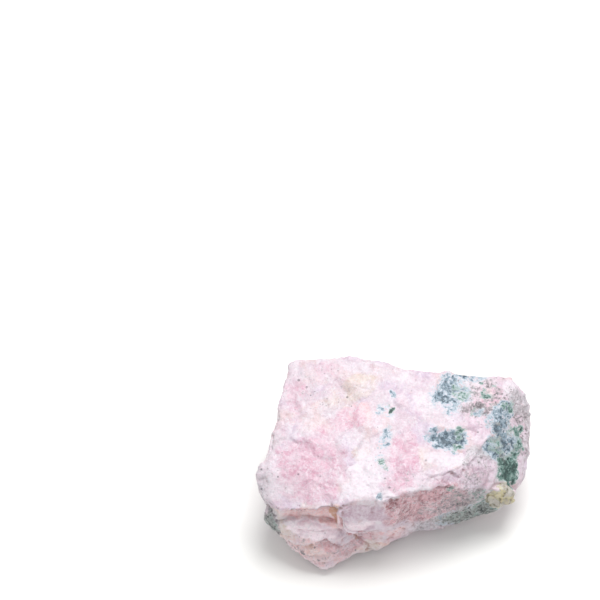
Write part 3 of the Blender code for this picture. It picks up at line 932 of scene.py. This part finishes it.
        ((-22.5, 3, 9.5), (2, 4, 0.8), 0.6), ((-0.5, 16, 13.5), (0.8, 3, 4), 0.6),
    ),
    # where dark specks are strewn
    Mineral.SPECK: (
        ((-15.5, -16.8, 4.8), (5, 2, 0.8), 1), ((-24.8, -12, 8), (2.4, 3, 4.4), 1.6),
        ((17, 9, 21.5), (7.5, 6, 4), 0.9), ((22.5, 4, 17.5), (6, 9, 6), 0.9),
        ((13, -9.5, 11.5), (8, 4, 4.5), 0.9), ((13.8, -9.1, 6), (7.5, 3.2, 4), 1.35),
        ((14.5, -5.5, 17.5), (5, 4, 2.5), 0.62), ((-23.5, -7, 16), (4, 6, 5), 0.35),
        ((-16, 10, 21.5), (9, 7, 4), 0.3), ((0, -10, 19.5), (7, 4, 3), 0.35),
        ((-16, -15, 5), (9, 5, 4), 0.5),
    ),
    # dark grains on the green foot and in the left end's foot
    Mineral.SOOT: (
        ((13.8, -9.1, 6.6), (7.5, 3.2, 4), 0.96), ((14, -8.8, 12.4), (4.5, 3.2, 2.6), 0.42),
        ((21, 1.8, 17.8), (3.4, 4.6, 3.6), 0.4), ((-24.8, -12, 7.4), (2, 2.6, 3.6), 0.85),
    ),
}


@dataclass(frozen=True)
class MineralMap:
    """Where each mineral lies on the stone, and where some fields paint shade or light.

    Attributes:
        patches: The rows of each mineral's patches.
        warp: The noise that bends the patches' edges.
    """

    patches: dict[Mineral, tuple[tuple, ...]] = field(default_factory=lambda: PATCH_ROWS)
    warp: tuple[Layer, ...] = ((5.0, 1.3, 111), (1.8, 0.7, 121), (0.8, 0.3, 131))

    def fields(self, points: np.ndarray) -> dict[Mineral, np.ndarray]:
        """How much of each mineral there is at each point: the strongest of its patches, at bent points.

        Args:
            points: The surface's points in millimetres.

        Returns:
            A share from 0 to 1 at each point, for each mineral.
        """
        bent = bend(points, self.warp)
        return {mineral: np.max([Patch(*row).share(bent) for row in rows], axis=0)
                for mineral, rows in self.patches.items()}


# ---- The rock's material ----


def paint(red: float, green: float, blue: float) -> tuple[float, float, float, float]:
    """A screen colour from 0 to 255 as the linear colour that a shader takes."""
    parts = [value / 255 for value in (red, green, blue)]
    linear = [part / 12.92 if part <= 0.04045 else ((part + 0.055) / 1.055) ** 2.4 for part in parts]
    return (linear[0], linear[1], linear[2], 1.0)


class NodeGraph:
    """A material's node tree, with short calls for the few kinds of node that the rock needs."""

    def __init__(self, name: str) -> None:
        """Makes an empty node material.

        Args:
            name: The material's name.
        """
        self.material = bpy.data.materials.new(name)
        self.material.use_nodes = True
        self.tree = self.material.node_tree
        self.tree.nodes.clear()
        self.place = self.millimetres()

    def node(self, kind: str, **settings: object) -> bpy.types.Node:
        """Adds a node and gives it its settings.

        Args:
            kind: The node's type.
            settings: Values for its properties.

        Returns:
            The new node.
        """
        made = self.tree.nodes.new(kind)
        for name, value in settings.items():
            setattr(made, name, value)
        return made

    def feed(self, socket: bpy.types.NodeSocket, value: object) -> None:
        """Links another node's output to a socket, or sets the socket's own value."""
        if isinstance(value, bpy.types.NodeSocket):
            self.tree.links.new(value, socket)
        else:
            socket.default_value = value

    def millimetres(self) -> bpy.types.NodeSocket:
        """The object's own coordinates in millimetres."""
        mapping = self.node("ShaderNodeMapping")
        self.feed(mapping.inputs["Vector"], self.node("ShaderNodeTexCoord").outputs["Object"])
        mapping.inputs["Scale"].default_value = (1 / MM,) * 3
        return mapping.outputs["Vector"]

    def field(self, mineral: Mineral) -> bpy.types.NodeSocket:
        """The share of a mineral, read from the mesh."""
        return self.read(mineral.value)

    def read(self, name: str) -> bpy.types.NodeSocket:
        """A number that the mesh holds at its points."""
        return self.node("ShaderNodeAttribute", attribute_name=name).outputs["Fac"]

    def moved(self, shift: float) -> bpy.types.NodeSocket:
        """The millimetre coordinates, moved so that patterns don't line up."""
        mapping = self.node("ShaderNodeMapping")
        self.feed(mapping.inputs["Vector"], self.place)
        mapping.inputs["Location"].default_value = (shift, shift * 0.7, shift * 1.3)
        return mapping.outputs["Vector"]

    def noise(self, width: float, detail: float = 3.0, shift: float = 0.0, rough: float = 0.6,
              twist: float = 0.0) -> bpy.types.NodeSocket:
        """Cloud noise centred on a half.

        Args:
            width: The width of its widest clouds, in millimetres.
            detail: How many finer layers it has.
            shift: Moves the pattern.
            rough: How strong the finer layers are.
            twist: How far it distorts itself.

        Returns:
            The noise's value.
        """
        made = self.node("ShaderNodeTexNoise")
        self.feed(made.inputs["Vector"], self.moved(shift))
        made.inputs["Scale"].default_value = 1 / width
        made.inputs["Detail"].default_value = detail
        made.inputs["Roughness"].default_value = rough
        made.inputs["Distortion"].default_value = twist
        return made.outputs[0]

    def grains(self, width: float, shift: float = 0.0, feature: str = "F1") -> bpy.types.Node:
        """Cells of about a given width in millimetres, each with a random colour."""
        made = self.node("ShaderNodeTexVoronoi", feature=feature)
        self.feed(made.inputs["Vector"], self.moved(shift))
        made.inputs["Scale"].default_value = 1 / width
        return made

    def parts(self, colour: bpy.types.NodeSocket) -> list[bpy.types.NodeSocket]:
        """The three channels of a colour, as three independent random numbers."""
        made = self.node("ShaderNodeSeparateColor")
        self.feed(made.inputs[0], colour)
        return list(made.outputs)

    def sum(self, *terms: tuple[object, float]) -> bpy.types.NodeSocket:
        """The sum of values, each multiplied by its weight.

        Args:
            terms: Values or sockets, each with its weight.

        Returns:
            The sum.
        """
        total: object = 0.0
        for value, weight in terms:
            made = self.node("ShaderNodeMath", operation="MULTIPLY_ADD")
            for socket, item in zip(made.inputs, (value, weight, total)):
                self.feed(socket, item)
            total = made.outputs[0]
        return total

    def times(self, first: object, second: object) -> bpy.types.NodeSocket:
        """The product of two values."""
        made = self.node("ShaderNodeMath", operation="MULTIPLY")
        self.feed(made.inputs[0], first)
        self.feed(made.inputs[1], second)
        return made.outputs[0]

    def rise(self, value: object, start: float, end: float, high: float = 1.0,
             low: float = 0.0) -> bpy.types.NodeSocket:
        """A smooth rise from low to high as a value goes from start to end; start may be above end.

        Args:
            value: The value, a number or a socket.
            start: Where the rise begins.
            end: Where it is full.
            high: The result at its end.
            low: The result at its start.

        Returns:
            The risen value.
        """
        made = self.node("ShaderNodeMapRange", interpolation_type="SMOOTHSTEP")
        self.feed(made.inputs["Value"], value)
        for name, item in (("From Min", start), ("From Max", end), ("To Min", low), ("To Max", high)):
            made.inputs[name].default_value = item
        return made.outputs[0]

    def mix(self, share: object, first: object, second: object, blend: str = "MIX") -> bpy.types.NodeSocket:
        """Two colours mixed by a share of the second.

        Args:
            share: The share, a number or a socket.
            first: The colour at a share of 0.
            second: The colour at a share of 1.
            blend: How the two are blended.

        Returns:
            The mixed colour.
        """
        made = self.node("ShaderNodeMix", data_type="RGBA", blend_type=blend)
        self.feed(made.inputs[0], share)
        self.feed(made.inputs[6], first)
        self.feed(made.inputs[7], second)
        return made.outputs[2]

    def lay(self, under: object, over: Colour | bpy.types.NodeSocket, value: object,
            span: tuple[float, ...], blend: str = "MIX") -> bpy.types.NodeSocket:
        """Lays a colour over another where a value rises.

        Args:
            under: The colour underneath, a socket.
            over: The colour laid over it, a screen colour or a socket.
            value: What rises.
            span: Where it begins to show, where it shows most, and how much of it does at most.
            blend: How the two are blended.

        Returns:
            The colour of both.
        """
        top = over if isinstance(over, bpy.types.NodeSocket) else paint(*over)
        return self.mix(self.rise(value, *span), under, top, blend)


@dataclass(frozen=True)
class SoftFinish:
    """How a soft-edged mineral looks.

    Attributes:
        mineral: Which field places it.
        light: Screen colour of its pale parts.
        deep: Screen colour of its deep parts.
        most: How much of the ground it hides at most.
        width: The width of its deep parts, in millimetres.
        shift: Moves the pattern.
        ragged: How ragged its edge is.
    """

    mineral: Mineral
    light: Colour
    deep: Colour
    most: float
    width: float
    shift: float
    ragged: float = 1.4


@dataclass(frozen=True)
class GrainFinish:
    """How a mineral that comes in dark grains looks.

    Attributes:
        mineral: Which field places them.
        tones: Screen colours of the pale, middle and dark grains, which lie over each other.
        ground: Screen colour that the rock between the grains is tinted with.
        tint: How much it is tinted.
        width: The grains' width in millimetres.
        shift: Moves the pattern, so that two minerals' grains differ.
        crowd: How much more, or with a minus less, crowded they are than their share.
        spans: Where each tone begins to show, where it shows most, and how much of it does at most.
    """

    mineral: Mineral
    tones: tuple[Colour, Colour, Colour]
    ground: Colour
    tint: float
    width: float
    shift: float
    crowd: float
    spans: tuple[Triple, Triple, Triple] = ((0.35, 0.7, 0.8), (0.6, 0.95, 0.88), (0.98, 1.3, 0.9))


@dataclass(frozen=True)
class RockFinish:
    """Pale pink rock marbled with milky white, sand and rose, with green grains, straw crystals, specks and
    stains, and with painted shade, highlights, glints and sheen.

    Colours are screen colours of the rock itself in white light, from 0 to 255.

    Attributes:
        name: The material's name.
        pale: The palest ground; blush, peach, mauve and milk_and_highlight are its clouds; milk_and_highlight
            is also the colour of painted highlights and glints.
        soft: The soft-edged minerals, and the painted shade and light that some of them also carry, in the
            order in which they lie over each other.
        grains: The dark grains, in the same way.
        straw: The yellow and the white of the straw-coloured crystals.
        olive_and_shade: What lies between them: their own olive, and painted shade in the gaps.
        rust_and_shade: The stains, and painted shade under the lobe's ledges, in the fold and beside the
            plate.
        speck: The scattered specks.
        hollow: The colour multiplied into the sunk parts as painted shade.
        roughness: The roughest and the smoothest parts' roughness.
        refraction: How strongly the surface bends light.
        glow: How much light goes through the rock's skin.
        glow_reach: How far red, green and blue light go, in metres.
        bump: The height of the finest grain, in metres.
    """

    name: str = "marbled_pink_rock"
    pale: Colour = (207, 195, 203)
    blush: Colour = (203, 182, 194)
    peach: Colour = (210, 184, 184)
    mauve: Colour = (196, 180, 200)
    # milky white, also used for painted highlights and glints
    milk_and_highlight: Colour = (217, 209, 216)
    soft: tuple[SoftFinish, ...] = (
        SoftFinish(Mineral.SAND, (214, 203, 194), (200, 181, 164), 0.8, 1.8, 37.0),
        # grey rock, and painted shade on the slope below the right-hand lip
        SoftFinish(Mineral.GREY_AND_SHADE, (186, 185, 190), (148, 149, 152), 0.78, 0.9, 43.0),
        SoftFinish(Mineral.LILAC, (214, 198, 210), (186, 158, 175), 0.9, 3.0, 49.0),
        # salmon rock, lightened as painted light in the shaded recess and lobe
        SoftFinish(Mineral.SALMON_AND_PAINTED_LIGHT, (240, 212, 212), (226, 174, 174), 0.9, 1.8, 57.0),
        # dusky rock, and painted shade in folds and under edges
        SoftFinish(Mineral.DUSK_AND_SHADE, (212, 164, 172), (156, 106, 112), 0.94, 1.7, 61.0, 1.9),
        # painted sheen and light on the lobe's shelf and the plate
        SoftFinish(Mineral.PAINTED_SHEEN, (243, 229, 236), (226, 203, 214), 0.95, 2.4, 33.0, 1.2),
        SoftFinish(Mineral.ROSE, (208, 180, 193), (200, 152, 172), 0.94, 2.2, 29.0, 1.7),
    )
    grains: tuple[GrainFinish, ...] = (
        GrainFinish(Mineral.SPECK, ((172, 162, 167), (128, 120, 125), (88, 82, 86)),
                    (192, 180, 188), 0.2, 0.45, 97.0, -0.35),
        GrainFinish(Mineral.TEAL, ((170, 184, 196), (116, 136, 150), (64, 81, 94)),
                    (192, 199, 208), 0.8, 0.5, 53.0, 0.1),
        GrainFinish(Mineral.MOSS, ((144, 168, 162), (80, 114, 107), (36, 60, 57)),
                    (172, 182, 181), 0.55, 0.55, 67.0, 0.03),
        GrainFinish(Mineral.SOOT, ((166, 166, 165), (98, 104, 103), (48, 56, 58)),
                    (176, 170, 172), 0.2, 0.42, 113.0, -0.2),
    )
    straw: tuple[Colour, Colour] = ((200, 191, 150), (188, 184, 174))
    olive_and_shade: Colour = (104, 96, 64)
    rust_and_shade: Colour = (178, 128, 88)
    speck: Colour = (96, 88, 96)
    # painted shade: multiplied into the sunk parts
    hollow: Colour = (198, 154, 150)
    roughness: tuple[float, float] = (0.66, 0.38)
    refraction: float = 1.56
    glow: float = 0.14
    glow_reach: Triple = (0.0011, 0.0006, 0.0007)
    bump: float = 0.00013

    def marbled_ground(self, graph: NodeGraph, ragged: bpy.types.NodeSocket) -> bpy.types.NodeSocket:
        """The rock's ground: twisted clouds of pale and blush rock, milky clouds, and thin milky veins.

        Args:
            graph: The material's nodes.
            ragged: Noise about 0 that breaks up edges.

        Returns:
            The colour.
        """
        clouds = graph.sum((graph.noise(8.0, 5.0, 3.0, 0.6, 1.2), 1.0), (ragged, 0.35))
        colour = graph.lay(paint(*self.pale), self.blush, clouds, (0.38, 0.62))
        warmth = graph.noise(6.5, 4.0, 9.0, 0.5, 1.0)
        colour = graph.lay(colour, self.peach, warmth, (0.5, 0.68, 0.7))
        colour = graph.lay(colour, self.mauve, warmth, (0.48, 0.32, 0.6))
        milky = graph.noise(2.4, 5.0, 17.0, 0.62, 0.9)
        return graph.lay(colour, self.milk_and_highlight, milky, (0.5, 0.72, 0.8))

    def veins(self, graph: NodeGraph, colour: bpy.types.NodeSocket) -> bpy.types.NodeSocket:
        """Thin milky veins: where twisted noise crosses its middle value."""
        for width, shift, reach, most in ((4.5, 23.0, 0.03, 0.5), (1.6, 31.0, 0.05, 0.35)):
            made = graph.node("ShaderNodeMath", operation="ABSOLUTE")
            noise = graph.noise(width, 3.0, shift, 0.55, 1.6)
            graph.feed(made.inputs[0], graph.sum((noise, 1.0), (1.0, -0.5)))
            colour = graph.lay(colour, self.milk_and_highlight, made.outputs[0], (reach, 0.0, most))
        return colour

    def soft_minerals(self, graph: NodeGraph, colour: bpy.types.NodeSocket, ragged: bpy.types.NodeSocket,
                      drifting: bpy.types.NodeSocket) -> bpy.types.NodeSocket:
        """Lays each soft-edged mineral over the ground where its field is, with drifting, ragged edges.

        Args:
            graph: The material's nodes.
            colour: The ground's colour.
            ragged: Noise about 0 that breaks up edges.
            drifting: Smoother noise about 0 that bends edges.

        Returns:
            The colour.
        """
        for soft in self.soft:
            share = graph.sum((graph.field(soft.mineral), 1.0), (drifting, 0.8 * soft.ragged),
                              (ragged, 0.35 * soft.ragged))
            deep = graph.noise(soft.width, 4.0, soft.shift, 0.68, 0.8)
            tone = graph.lay(paint(*soft.light), soft.deep, deep, (0.4, 0.66))
            colour = graph.lay(colour, tone, share, (0.15, 0.9, soft.most))
        return colour

    def milk_clouds_and_highlights(self, graph: NodeGraph, colour: bpy.types.NodeSocket,
                    ragged: bpy.types.NodeSocket) -> bpy.types.NodeSocket:
        """Milky clouds where their field is, and painted highlights and glints where it marks them."""
        share = graph.sum((graph.field(Mineral.MILK_AND_HIGHLIGHT), 1.0), (ragged, 1.4))
        return graph.lay(colour, self.milk_and_highlight, share, (0.3, 0.9, 0.9))

    def sugar(self, graph: NodeGraph, colour: bpy.types.NodeSocket) -> bpy.types.NodeSocket:
        """Fine grains all over: small cells that lighten or darken the ground, more in its dusky parts, and
        milky specks that are painted glints.
        """
        tiny = graph.parts(graph.grains(0.32, 41.0).outputs["Color"])
        small = graph.parts(graph.grains(0.6, 47.0).outputs["Color"])
        dusky = graph.sum((graph.field(Mineral.DUSK_AND_SHADE), 1.0), (graph.field(Mineral.GREY_AND_SHADE), 1.0))
        coarse = graph.rise(dusky, 0.3, 1.0)
        rough = graph.times(coarse, graph.rise(graph.sum((tiny[1], 0.6), (small[2], 0.4)), 0.4, 0.1, 0.5))
        colour = graph.mix(rough, colour, paint(*self.speck), "MULTIPLY")
        # painted glints: milky specks in the dusky parts
        painted_glints = graph.times(coarse, graph.rise(graph.sum((tiny[0], 0.6), (small[0], 0.4)), 0.6, 0.9, 0.6))
        colour = graph.mix(painted_glints, colour, paint(*self.milk_and_highlight))
        colour = graph.lay(colour, self.blush, tiny[0], (0.5, 0.0, 0.16), "MULTIPLY")
        colour = graph.lay(colour, self.blush, small[1], (0.35, 0.0, 0.12), "MULTIPLY")
        # painted glints: sparse bright specks all over
        return graph.lay(colour, self.milk_and_highlight, tiny[2], (0.88, 1.0, 0.35))

    def dark_grains(self, graph: NodeGraph, colour: bpy.types.NodeSocket, ragged: bpy.types.NodeSocket,
                    finish: GrainFinish) -> bpy.types.NodeSocket:
        """Grains of a dark mineral, as crowded as its share, over ground that it tints.

        Args:
            graph: The material's nodes.
            colour: The ground's colour.
            ragged: Noise about 0 that breaks up the mineral's edges.
            finish: The mineral's finish.

        Returns:
            The colour with the grains in it.
        """
        present = graph.field(finish.mineral)
        chance = graph.parts(graph.grains(finish.width, finish.shift).outputs["Color"])[0]
        mottle = graph.noise(4 * finish.width, 6.0, finish.shift + 3, 0.76, 0.5)
        close = graph.noise(0.8 * finish.width, 3.0, finish.shift + 11, 0.7)
        uneven = graph.sum((mottle, 3.6), (close, 1.2), (chance, 0.6), (ragged, 0.4), (1.0, -2.7))
        masked = graph.times(graph.rise(present, 0.0, 0.3), uneven)
        # grains give way where milk_and_highlight is strong, as at the painted glints in the green
        depth = graph.sum((present, 1.0), (masked, 1.0), (1.0, finish.crowd),
                          (graph.rise(graph.field(Mineral.MILK_AND_HIGHLIGHT), 0.85, 1.0), -0.7))
        colour = graph.lay(colour, finish.ground, depth, (0.1, 0.5, finish.tint))
        for tone, span in zip(finish.tones, finish.spans):
            colour = graph.lay(colour, tone, depth, span)
        return colour

    def straw_crystals(self, graph: NodeGraph, colour: bpy.types.NodeSocket) -> bpy.types.NodeSocket:
        """Blocky pale crystals, each of its own tone, with painted highlights on them, and olive in the gaps
        and hollows between them, partly their own colour and partly painted shade.
        """
        share = graph.sum((graph.field(Mineral.STRAW), 1.0), (graph.noise(1.2, 3.0, 75.0), 0.5), (1.0, -0.25))
        close = graph.noise(0.6, 4.0, 77.0, 0.7)
        crystal = graph.grains(1.7, 71.0, "DISTANCE_TO_EDGE").outputs["Distance"]
        chance = graph.parts(graph.grains(1.7, 71.0).outputs["Color"])[0]
        yellow = graph.sum((graph.noise(2.6, 3.0, 71.0, 0.6), 1.0), (chance, 0.35))
        tone = graph.lay(paint(*self.straw[1]), self.straw[0], yellow, (0.66, 0.86))
        # painted highlights: milky flecks on the crystals
        tone = graph.lay(tone, self.milk_and_highlight, close, (0.48, 0.72, 0.8))
        broken = graph.noise(2.0, 2.0, 79.0)
        # the gaps, more of them where the surface is sunk: olive, partly painted shade
        gap = graph.sum((crystal, 0.7), (close, -0.9), (broken, -0.9), (graph.read(WEAR_HIGHLIGHT_AND_SHADE), 0.1))
        crystals = graph.lay(tone, self.olive_and_shade, gap, (-0.74, -1.04, 0.85))
        return graph.lay(colour, crystals, share, (0.3, 0.5, 0.95))

    def stains(self, graph: NodeGraph, colour: bpy.types.NodeSocket,
               ragged: bpy.types.NodeSocket) -> bpy.types.NodeSocket:
        """Rusty stains, partly painted shade under the lobe's ledges and beside the plate, and dark specks of
        a size that varies, denser where their field is high.
        """
        rust_and_shade = graph.sum((graph.field(Mineral.RUST_AND_SHADE), 1.0), (ragged, 1.3))
        colour = graph.lay(colour, self.rust_and_shade, rust_and_shade, (0.25, 0.9, 0.7))
        for width, shift, usual, most in ((0.8, 83.0, 0.006, 0.7), (0.45, 89.0, 0.03, 0.4)):
            cell = graph.grains(width, shift)
            chance, size, _ = graph.parts(cell.outputs["Color"])
            often = graph.sum((graph.field(Mineral.SPECK), 0.16), (1.0, usual))
            here = graph.rise(graph.sum((often, 1.0), (chance, -1.0)), -0.01, 0.01)
            inside = graph.sum((size, 0.25), (1.0, 0.12), (cell.outputs["Distance"], -1.0))
            dot = graph.rise(inside, -0.08, 0.08)
            colour = graph.mix(graph.times(graph.times(here, dot), most), colour, paint(*self.speck))
        return colour

    def wear_highlights_and_hollow_shade(self, graph: NodeGraph, colour: bpy.types.NodeSocket) -> bpy.types.NodeSocket:
        """Whitened proud edges, partly bruising and partly painted highlight, and painted shade multiplied
        into the sunk hollows.
        """
        wear = graph.read(WEAR_HIGHLIGHT_AND_SHADE)
        # painted shade: the sunk parts darkened towards the hollow colour
        colour = graph.lay(colour, self.hollow, wear, (0.0, -0.9, 0.65), "MULTIPLY")
        # proud edges whitened: partly bruising, partly painted highlight
        return graph.lay(colour, self.milk_and_highlight, wear, (0.1, 1.0, 0.55))

    def build(self) -> bpy.types.Material:
        """Makes the material.

        Returns:
            The finished material, its layers laid over each other in order.
        """
        graph = NodeGraph(self.name)
        broad, close = graph.noise(2.6, 4.0, 5.0, 0.62), graph.noise(0.6, 3.0, 11.0)
        chance = graph.parts(graph.grains(0.5, 13.0).outputs["Color"])
        ragged = graph.sum((broad, 0.9), (close, 0.5), (chance[0], 0.18), (1.0, -0.79))
        drifting = graph.sum((graph.noise(3.4, 5.0, 7.0, 0.56, 0.7), 1.1), (1.0, -0.55))
        colour = self.soft_minerals(graph, self.marbled_ground(graph, drifting), ragged, drifting)
        colour = self.sugar(graph, self.milk_clouds_and_highlights(graph, self.veins(graph, colour), drifting))
        colour = self.stains(graph, self.wear_highlights_and_hollow_shade(graph, colour), ragged)
        for finish in self.grains:
            colour = self.dark_grains(graph, colour, ragged, finish)
        colour = self.straw_crystals(graph, colour)
        shader = graph.node("ShaderNodeBsdfPrincipled")
        graph.feed(shader.inputs["Base Color"], colour)
        rough = graph.sum((close, 0.7), (chance[1], 0.3))
        graph.feed(shader.inputs["Roughness"], graph.rise(rough, 0.25, 0.75, *self.roughness))
        shader.inputs["IOR"].default_value = self.refraction
        shader.inputs["Subsurface Weight"].default_value = self.glow
        shader.inputs["Subsurface Radius"].default_value = self.glow_reach
        shader.inputs["Subsurface Scale"].default_value = 1.0
        bump = graph.node("ShaderNodeBump")
        height = graph.sum((close, 1.0), (graph.grains(0.4, 19.0).outputs["Distance"], 0.3))
        graph.feed(bump.inputs["Height"], height)
        bump.inputs["Distance"].default_value = self.bump
        graph.feed(shader.inputs["Normal"], bump.outputs[0])
        output = graph.node("ShaderNodeOutputMaterial")
        graph.feed(output.inputs["Surface"], shader.outputs[0])
        return graph.material


# ---- The stone and the studio ----


@dataclass(frozen=True)
class RoughStone:
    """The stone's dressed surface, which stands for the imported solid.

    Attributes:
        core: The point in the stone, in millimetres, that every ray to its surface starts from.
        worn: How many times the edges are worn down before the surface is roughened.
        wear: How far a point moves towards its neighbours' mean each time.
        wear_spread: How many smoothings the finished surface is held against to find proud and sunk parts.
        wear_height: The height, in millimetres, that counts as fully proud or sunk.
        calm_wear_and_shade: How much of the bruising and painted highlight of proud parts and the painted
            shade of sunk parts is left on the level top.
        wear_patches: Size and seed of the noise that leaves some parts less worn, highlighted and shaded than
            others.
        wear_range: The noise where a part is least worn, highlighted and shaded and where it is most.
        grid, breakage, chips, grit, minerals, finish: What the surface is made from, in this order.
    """

    name: str = "rough_pink_stone"
    core: Triple = (0.5, 0.0, 11.0)
    worn: int = 5
    wear: float = 0.5
    wear_spread: int = 4
    wear_height: float = 0.13
    calm_wear_and_shade: float = 0.32
    wear_patches: tuple[float, int] = (5.5, 201)
    wear_range: tuple[float, float] = (-0.75, 0.25)
    grid: WrappedGrid = field(default_factory=WrappedGrid)
    breakage: Breakage = field(default_factory=Breakage)
    chips: Chips = field(default_factory=Chips)
    grit: Grit = field(default_factory=Grit)
    minerals: MineralMap = field(default_factory=MineralMap)
    finish: RockFinish = field(default_factory=RockFinish)

    def blocked_out(self, box_points: np.ndarray) -> np.ndarray:
        """The box's points moved along rays from the core onto the joined masses, less the hollows.

        Args:
            box_points: Points on the wrapped grid.

        Returns:
            The points where each ray first leaves the stone.
        """
        core = np.array(self.core)
        rays = box_points - core
        rays /= np.linalg.norm(rays, axis=1, keepdims=True)
        reach = np.max([mass.way_out(core, rays) for mass in MASSES], axis=0)
        for hollow in HOLLOWS:
            reach = np.minimum(reach, hollow.way_in(core, rays))
        down = np.where(rays[:, 2] < -TINY, -core[2] / np.minimum(rays[:, 2], -TINY), np.inf)
        return core + rays * np.minimum(reach, down)[:, None]

    def surface(self) -> tuple[np.ndarray, np.ndarray, dict[Mineral, np.ndarray]]:
        """The whole surface: blocked out, worn, broken and grained along its normals, flat underneath.

        Returns:
            The points in millimetres, the quads, and how much of each mineral there is at each point.
        """
        box_points, quads = self.grid.mesh()
        points = self.blocked_out(box_points)
        for _ in range(self.worn):
            points += self.wear * (neighbour_mean(points, quads) - points)
        normals = point_normals(points, quads)
        points += normals * self.breakage.relief(points)[:, None] + self.chips.moves(points, quads)
        fields = self.minerals.fields(points)
        normals = point_normals(points, quads)
        points += normals * self.grit.relief(points, normals[:, 2], fields)[:, None]
        points[:, 2] = np.maximum(points[:, 2], 0.0)
        return points, quads, fields

    def build(self) -> bpy.types.Object:
        """Makes the stone's mesh, with its minerals and its painted shade and light as attributes, and its
        finish.

        Returns:
            The stone.
        """
        points, quads, fields = self.surface()
        mesh = bpy.data.meshes.new(self.name)
        mesh.from_pydata(points * MM, [], quads)
        mesh.polygons.foreach_set("use_smooth", np.ones(len(quads), dtype=bool))
        shares = {mineral.value: share for mineral, share in fields.items()}
        steep = fade(point_normals(points, quads)[:, 2], LEVEL, STEEP)
        bruised_and_shaded = self.calm_wear_and_shade + (1 - self.calm_wear_and_shade) * steep
        bruised_and_shaded *= fade(cloud(points, *self.wear_patches), *self.wear_range)
        # the wear attribute: bruising and painted highlight on proud parts, painted shade in sunk ones
        shares[WEAR_HIGHLIGHT_AND_SHADE] = bruised_and_shaded * wear_field(points, quads, self.wear_spread, self.wear_height)
        for name, share in shares.items():
            layer = mesh.attributes.new(name, "FLOAT", "POINT")
            layer.data.foreach_set("value", share.astype(np.float32))
        mesh.materials.append(self.finish.build())
        mesh.update()
        stone = bpy.data.objects.new(self.name, mesh)
        bpy.context.scene.collection.objects.link(stone)
        return stone


@dataclass(frozen=True)
class Studio:
    """A pale floor, soft white light from above and behind, and the camera; lengths are metres.

    Attributes:
        floor_side: The floor's side.
        floor_tones: The screen colours of its duller and its whiter clouds.
        floor_cloud: How wide the clouds are, in millimetres, and how much of the whiter there is.
        floor_roughness: How matt it is.
        sky: The sky's strength.
        lamp_place: Where the lamp is; it looks at the stone.
        lamp_side: The lamp's side.
        lamp_power: Its power in watts.
        aim: The point that the camera looks at.
        tilt: How far it looks down.
        distance: How far from its aim it is.
        sensor: Its sensor's width, in millimetres.
        frame_width: How much of the width at its aim the picture spans.
    """

    floor_side: float = 4.0
    floor_tones: tuple[Colour, Colour] = ((238, 238, 236), (255, 255, 255))
    floor_cloud: tuple[float, float] = (60.0, 0.02)
    floor_roughness: float = 0.9
    sky: float = 0.73
    lamp_place: Triple = (0.09, 0.225, 0.76)
    lamp_side: float = 0.42
    lamp_power: float = 5.25
    aim: Triple = (-0.0187, 0.0501, 0.0)
    tilt: float = math.radians(52.0)
    distance: float = 0.68
    sensor: float = 36.0
    frame_width: float = 0.126

    def floor(self) -> bpy.types.Object:
        """The floor: one large square at the resting height, in matt white.

        Returns:
            The floor's object.
        """
        half = self.floor_side / 2
        u, v = np.meshgrid((-half, half), (-half, half))
        points = np.stack([u.ravel(), v.ravel(), np.zeros(4)], axis=1)
        mesh = bpy.data.meshes.new("studio_floor")
        mesh.from_pydata(points, [], [(0, 1, 3, 2)])
        graph = NodeGraph("matt_white_floor")
        shader = graph.node("ShaderNodeBsdfPrincipled")
        dull, white = self.floor_tones
        width, most = self.floor_cloud
        tone = graph.lay(paint(*dull), white, graph.noise(width, 2.0), (0.3, 0.7, most))
        graph.feed(shader.inputs["Base Color"], tone)
        shader.inputs["Roughness"].default_value = self.floor_roughness
        graph.feed(graph.node("ShaderNodeOutputMaterial").inputs["Surface"], shader.outputs[0])
        mesh.materials.append(graph.material)
        floor = bpy.data.objects.new("studio_floor", mesh)
        bpy.context.scene.collection.objects.link(floor)
        return floor

    def lights(self) -> None:
        """The white sky all round and one large soft lamp that looks at the stone."""
        scene = bpy.context.scene
        scene.world = bpy.data.worlds.new("studio_sky")
        scene.world.use_nodes = True
        sky = scene.world.node_tree.nodes["Background"]
        sky.inputs["Color"].default_value = (1.0, 1.0, 1.0, 1.0)
        sky.inputs["Strength"].default_value = self.sky
        scene.view_settings.view_transform = "Standard"
        data = bpy.data.lights.new("softbox", "AREA")
        data.size = self.lamp_side
        data.energy = self.lamp_power
        lamp = bpy.data.objects.new("softbox", data)
        lamp.location = self.lamp_place
        lamp.rotation_euler = (-Vector(self.lamp_place)).to_track_quat("-Z", "Y").to_euler()
        scene.collection.objects.link(lamp)

    def camera(self) -> bpy.types.Object:
        """The camera: it looks down at its aim at the tilt, with a lens that spans the frame's width there.

        Returns:
            The camera's object.
        """
        data = bpy.data.cameras.new("camera")
        data.sensor_width = self.sensor
        data.lens = self.sensor * self.distance / self.frame_width
        data.clip_end = 5 * self.floor_side
        camera = bpy.data.objects.new("camera", data)
        back = Vector((0.0, -math.cos(self.tilt), math.sin(self.tilt)))
        camera.location = Vector(self.aim) + back * self.distance
        camera.rotation_euler = (math.pi / 2 - self.tilt, 0.0, 0.0)
        bpy.context.scene.collection.objects.link(camera)
        bpy.context.scene.camera = camera
        return camera

    def build(self) -> None:
        """Makes the floor, the lights and the camera."""
        self.floor()
        self.lights()
        self.camera()


def main() -> None:
    logging.basicConfig(level=logging.INFO, format="%(name)s: %(message)s")
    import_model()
    Studio().build()
    LOG.info("studio: floor, sky, softbox and camera")
    stone = RoughStone().build()
    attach(stone, "root")
    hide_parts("stone")
    LOG.info("%s: %d points, %d quads", stone.name, len(stone.data.vertices), len(stone.data.polygons))


if __name__ == "__main__":
    main()
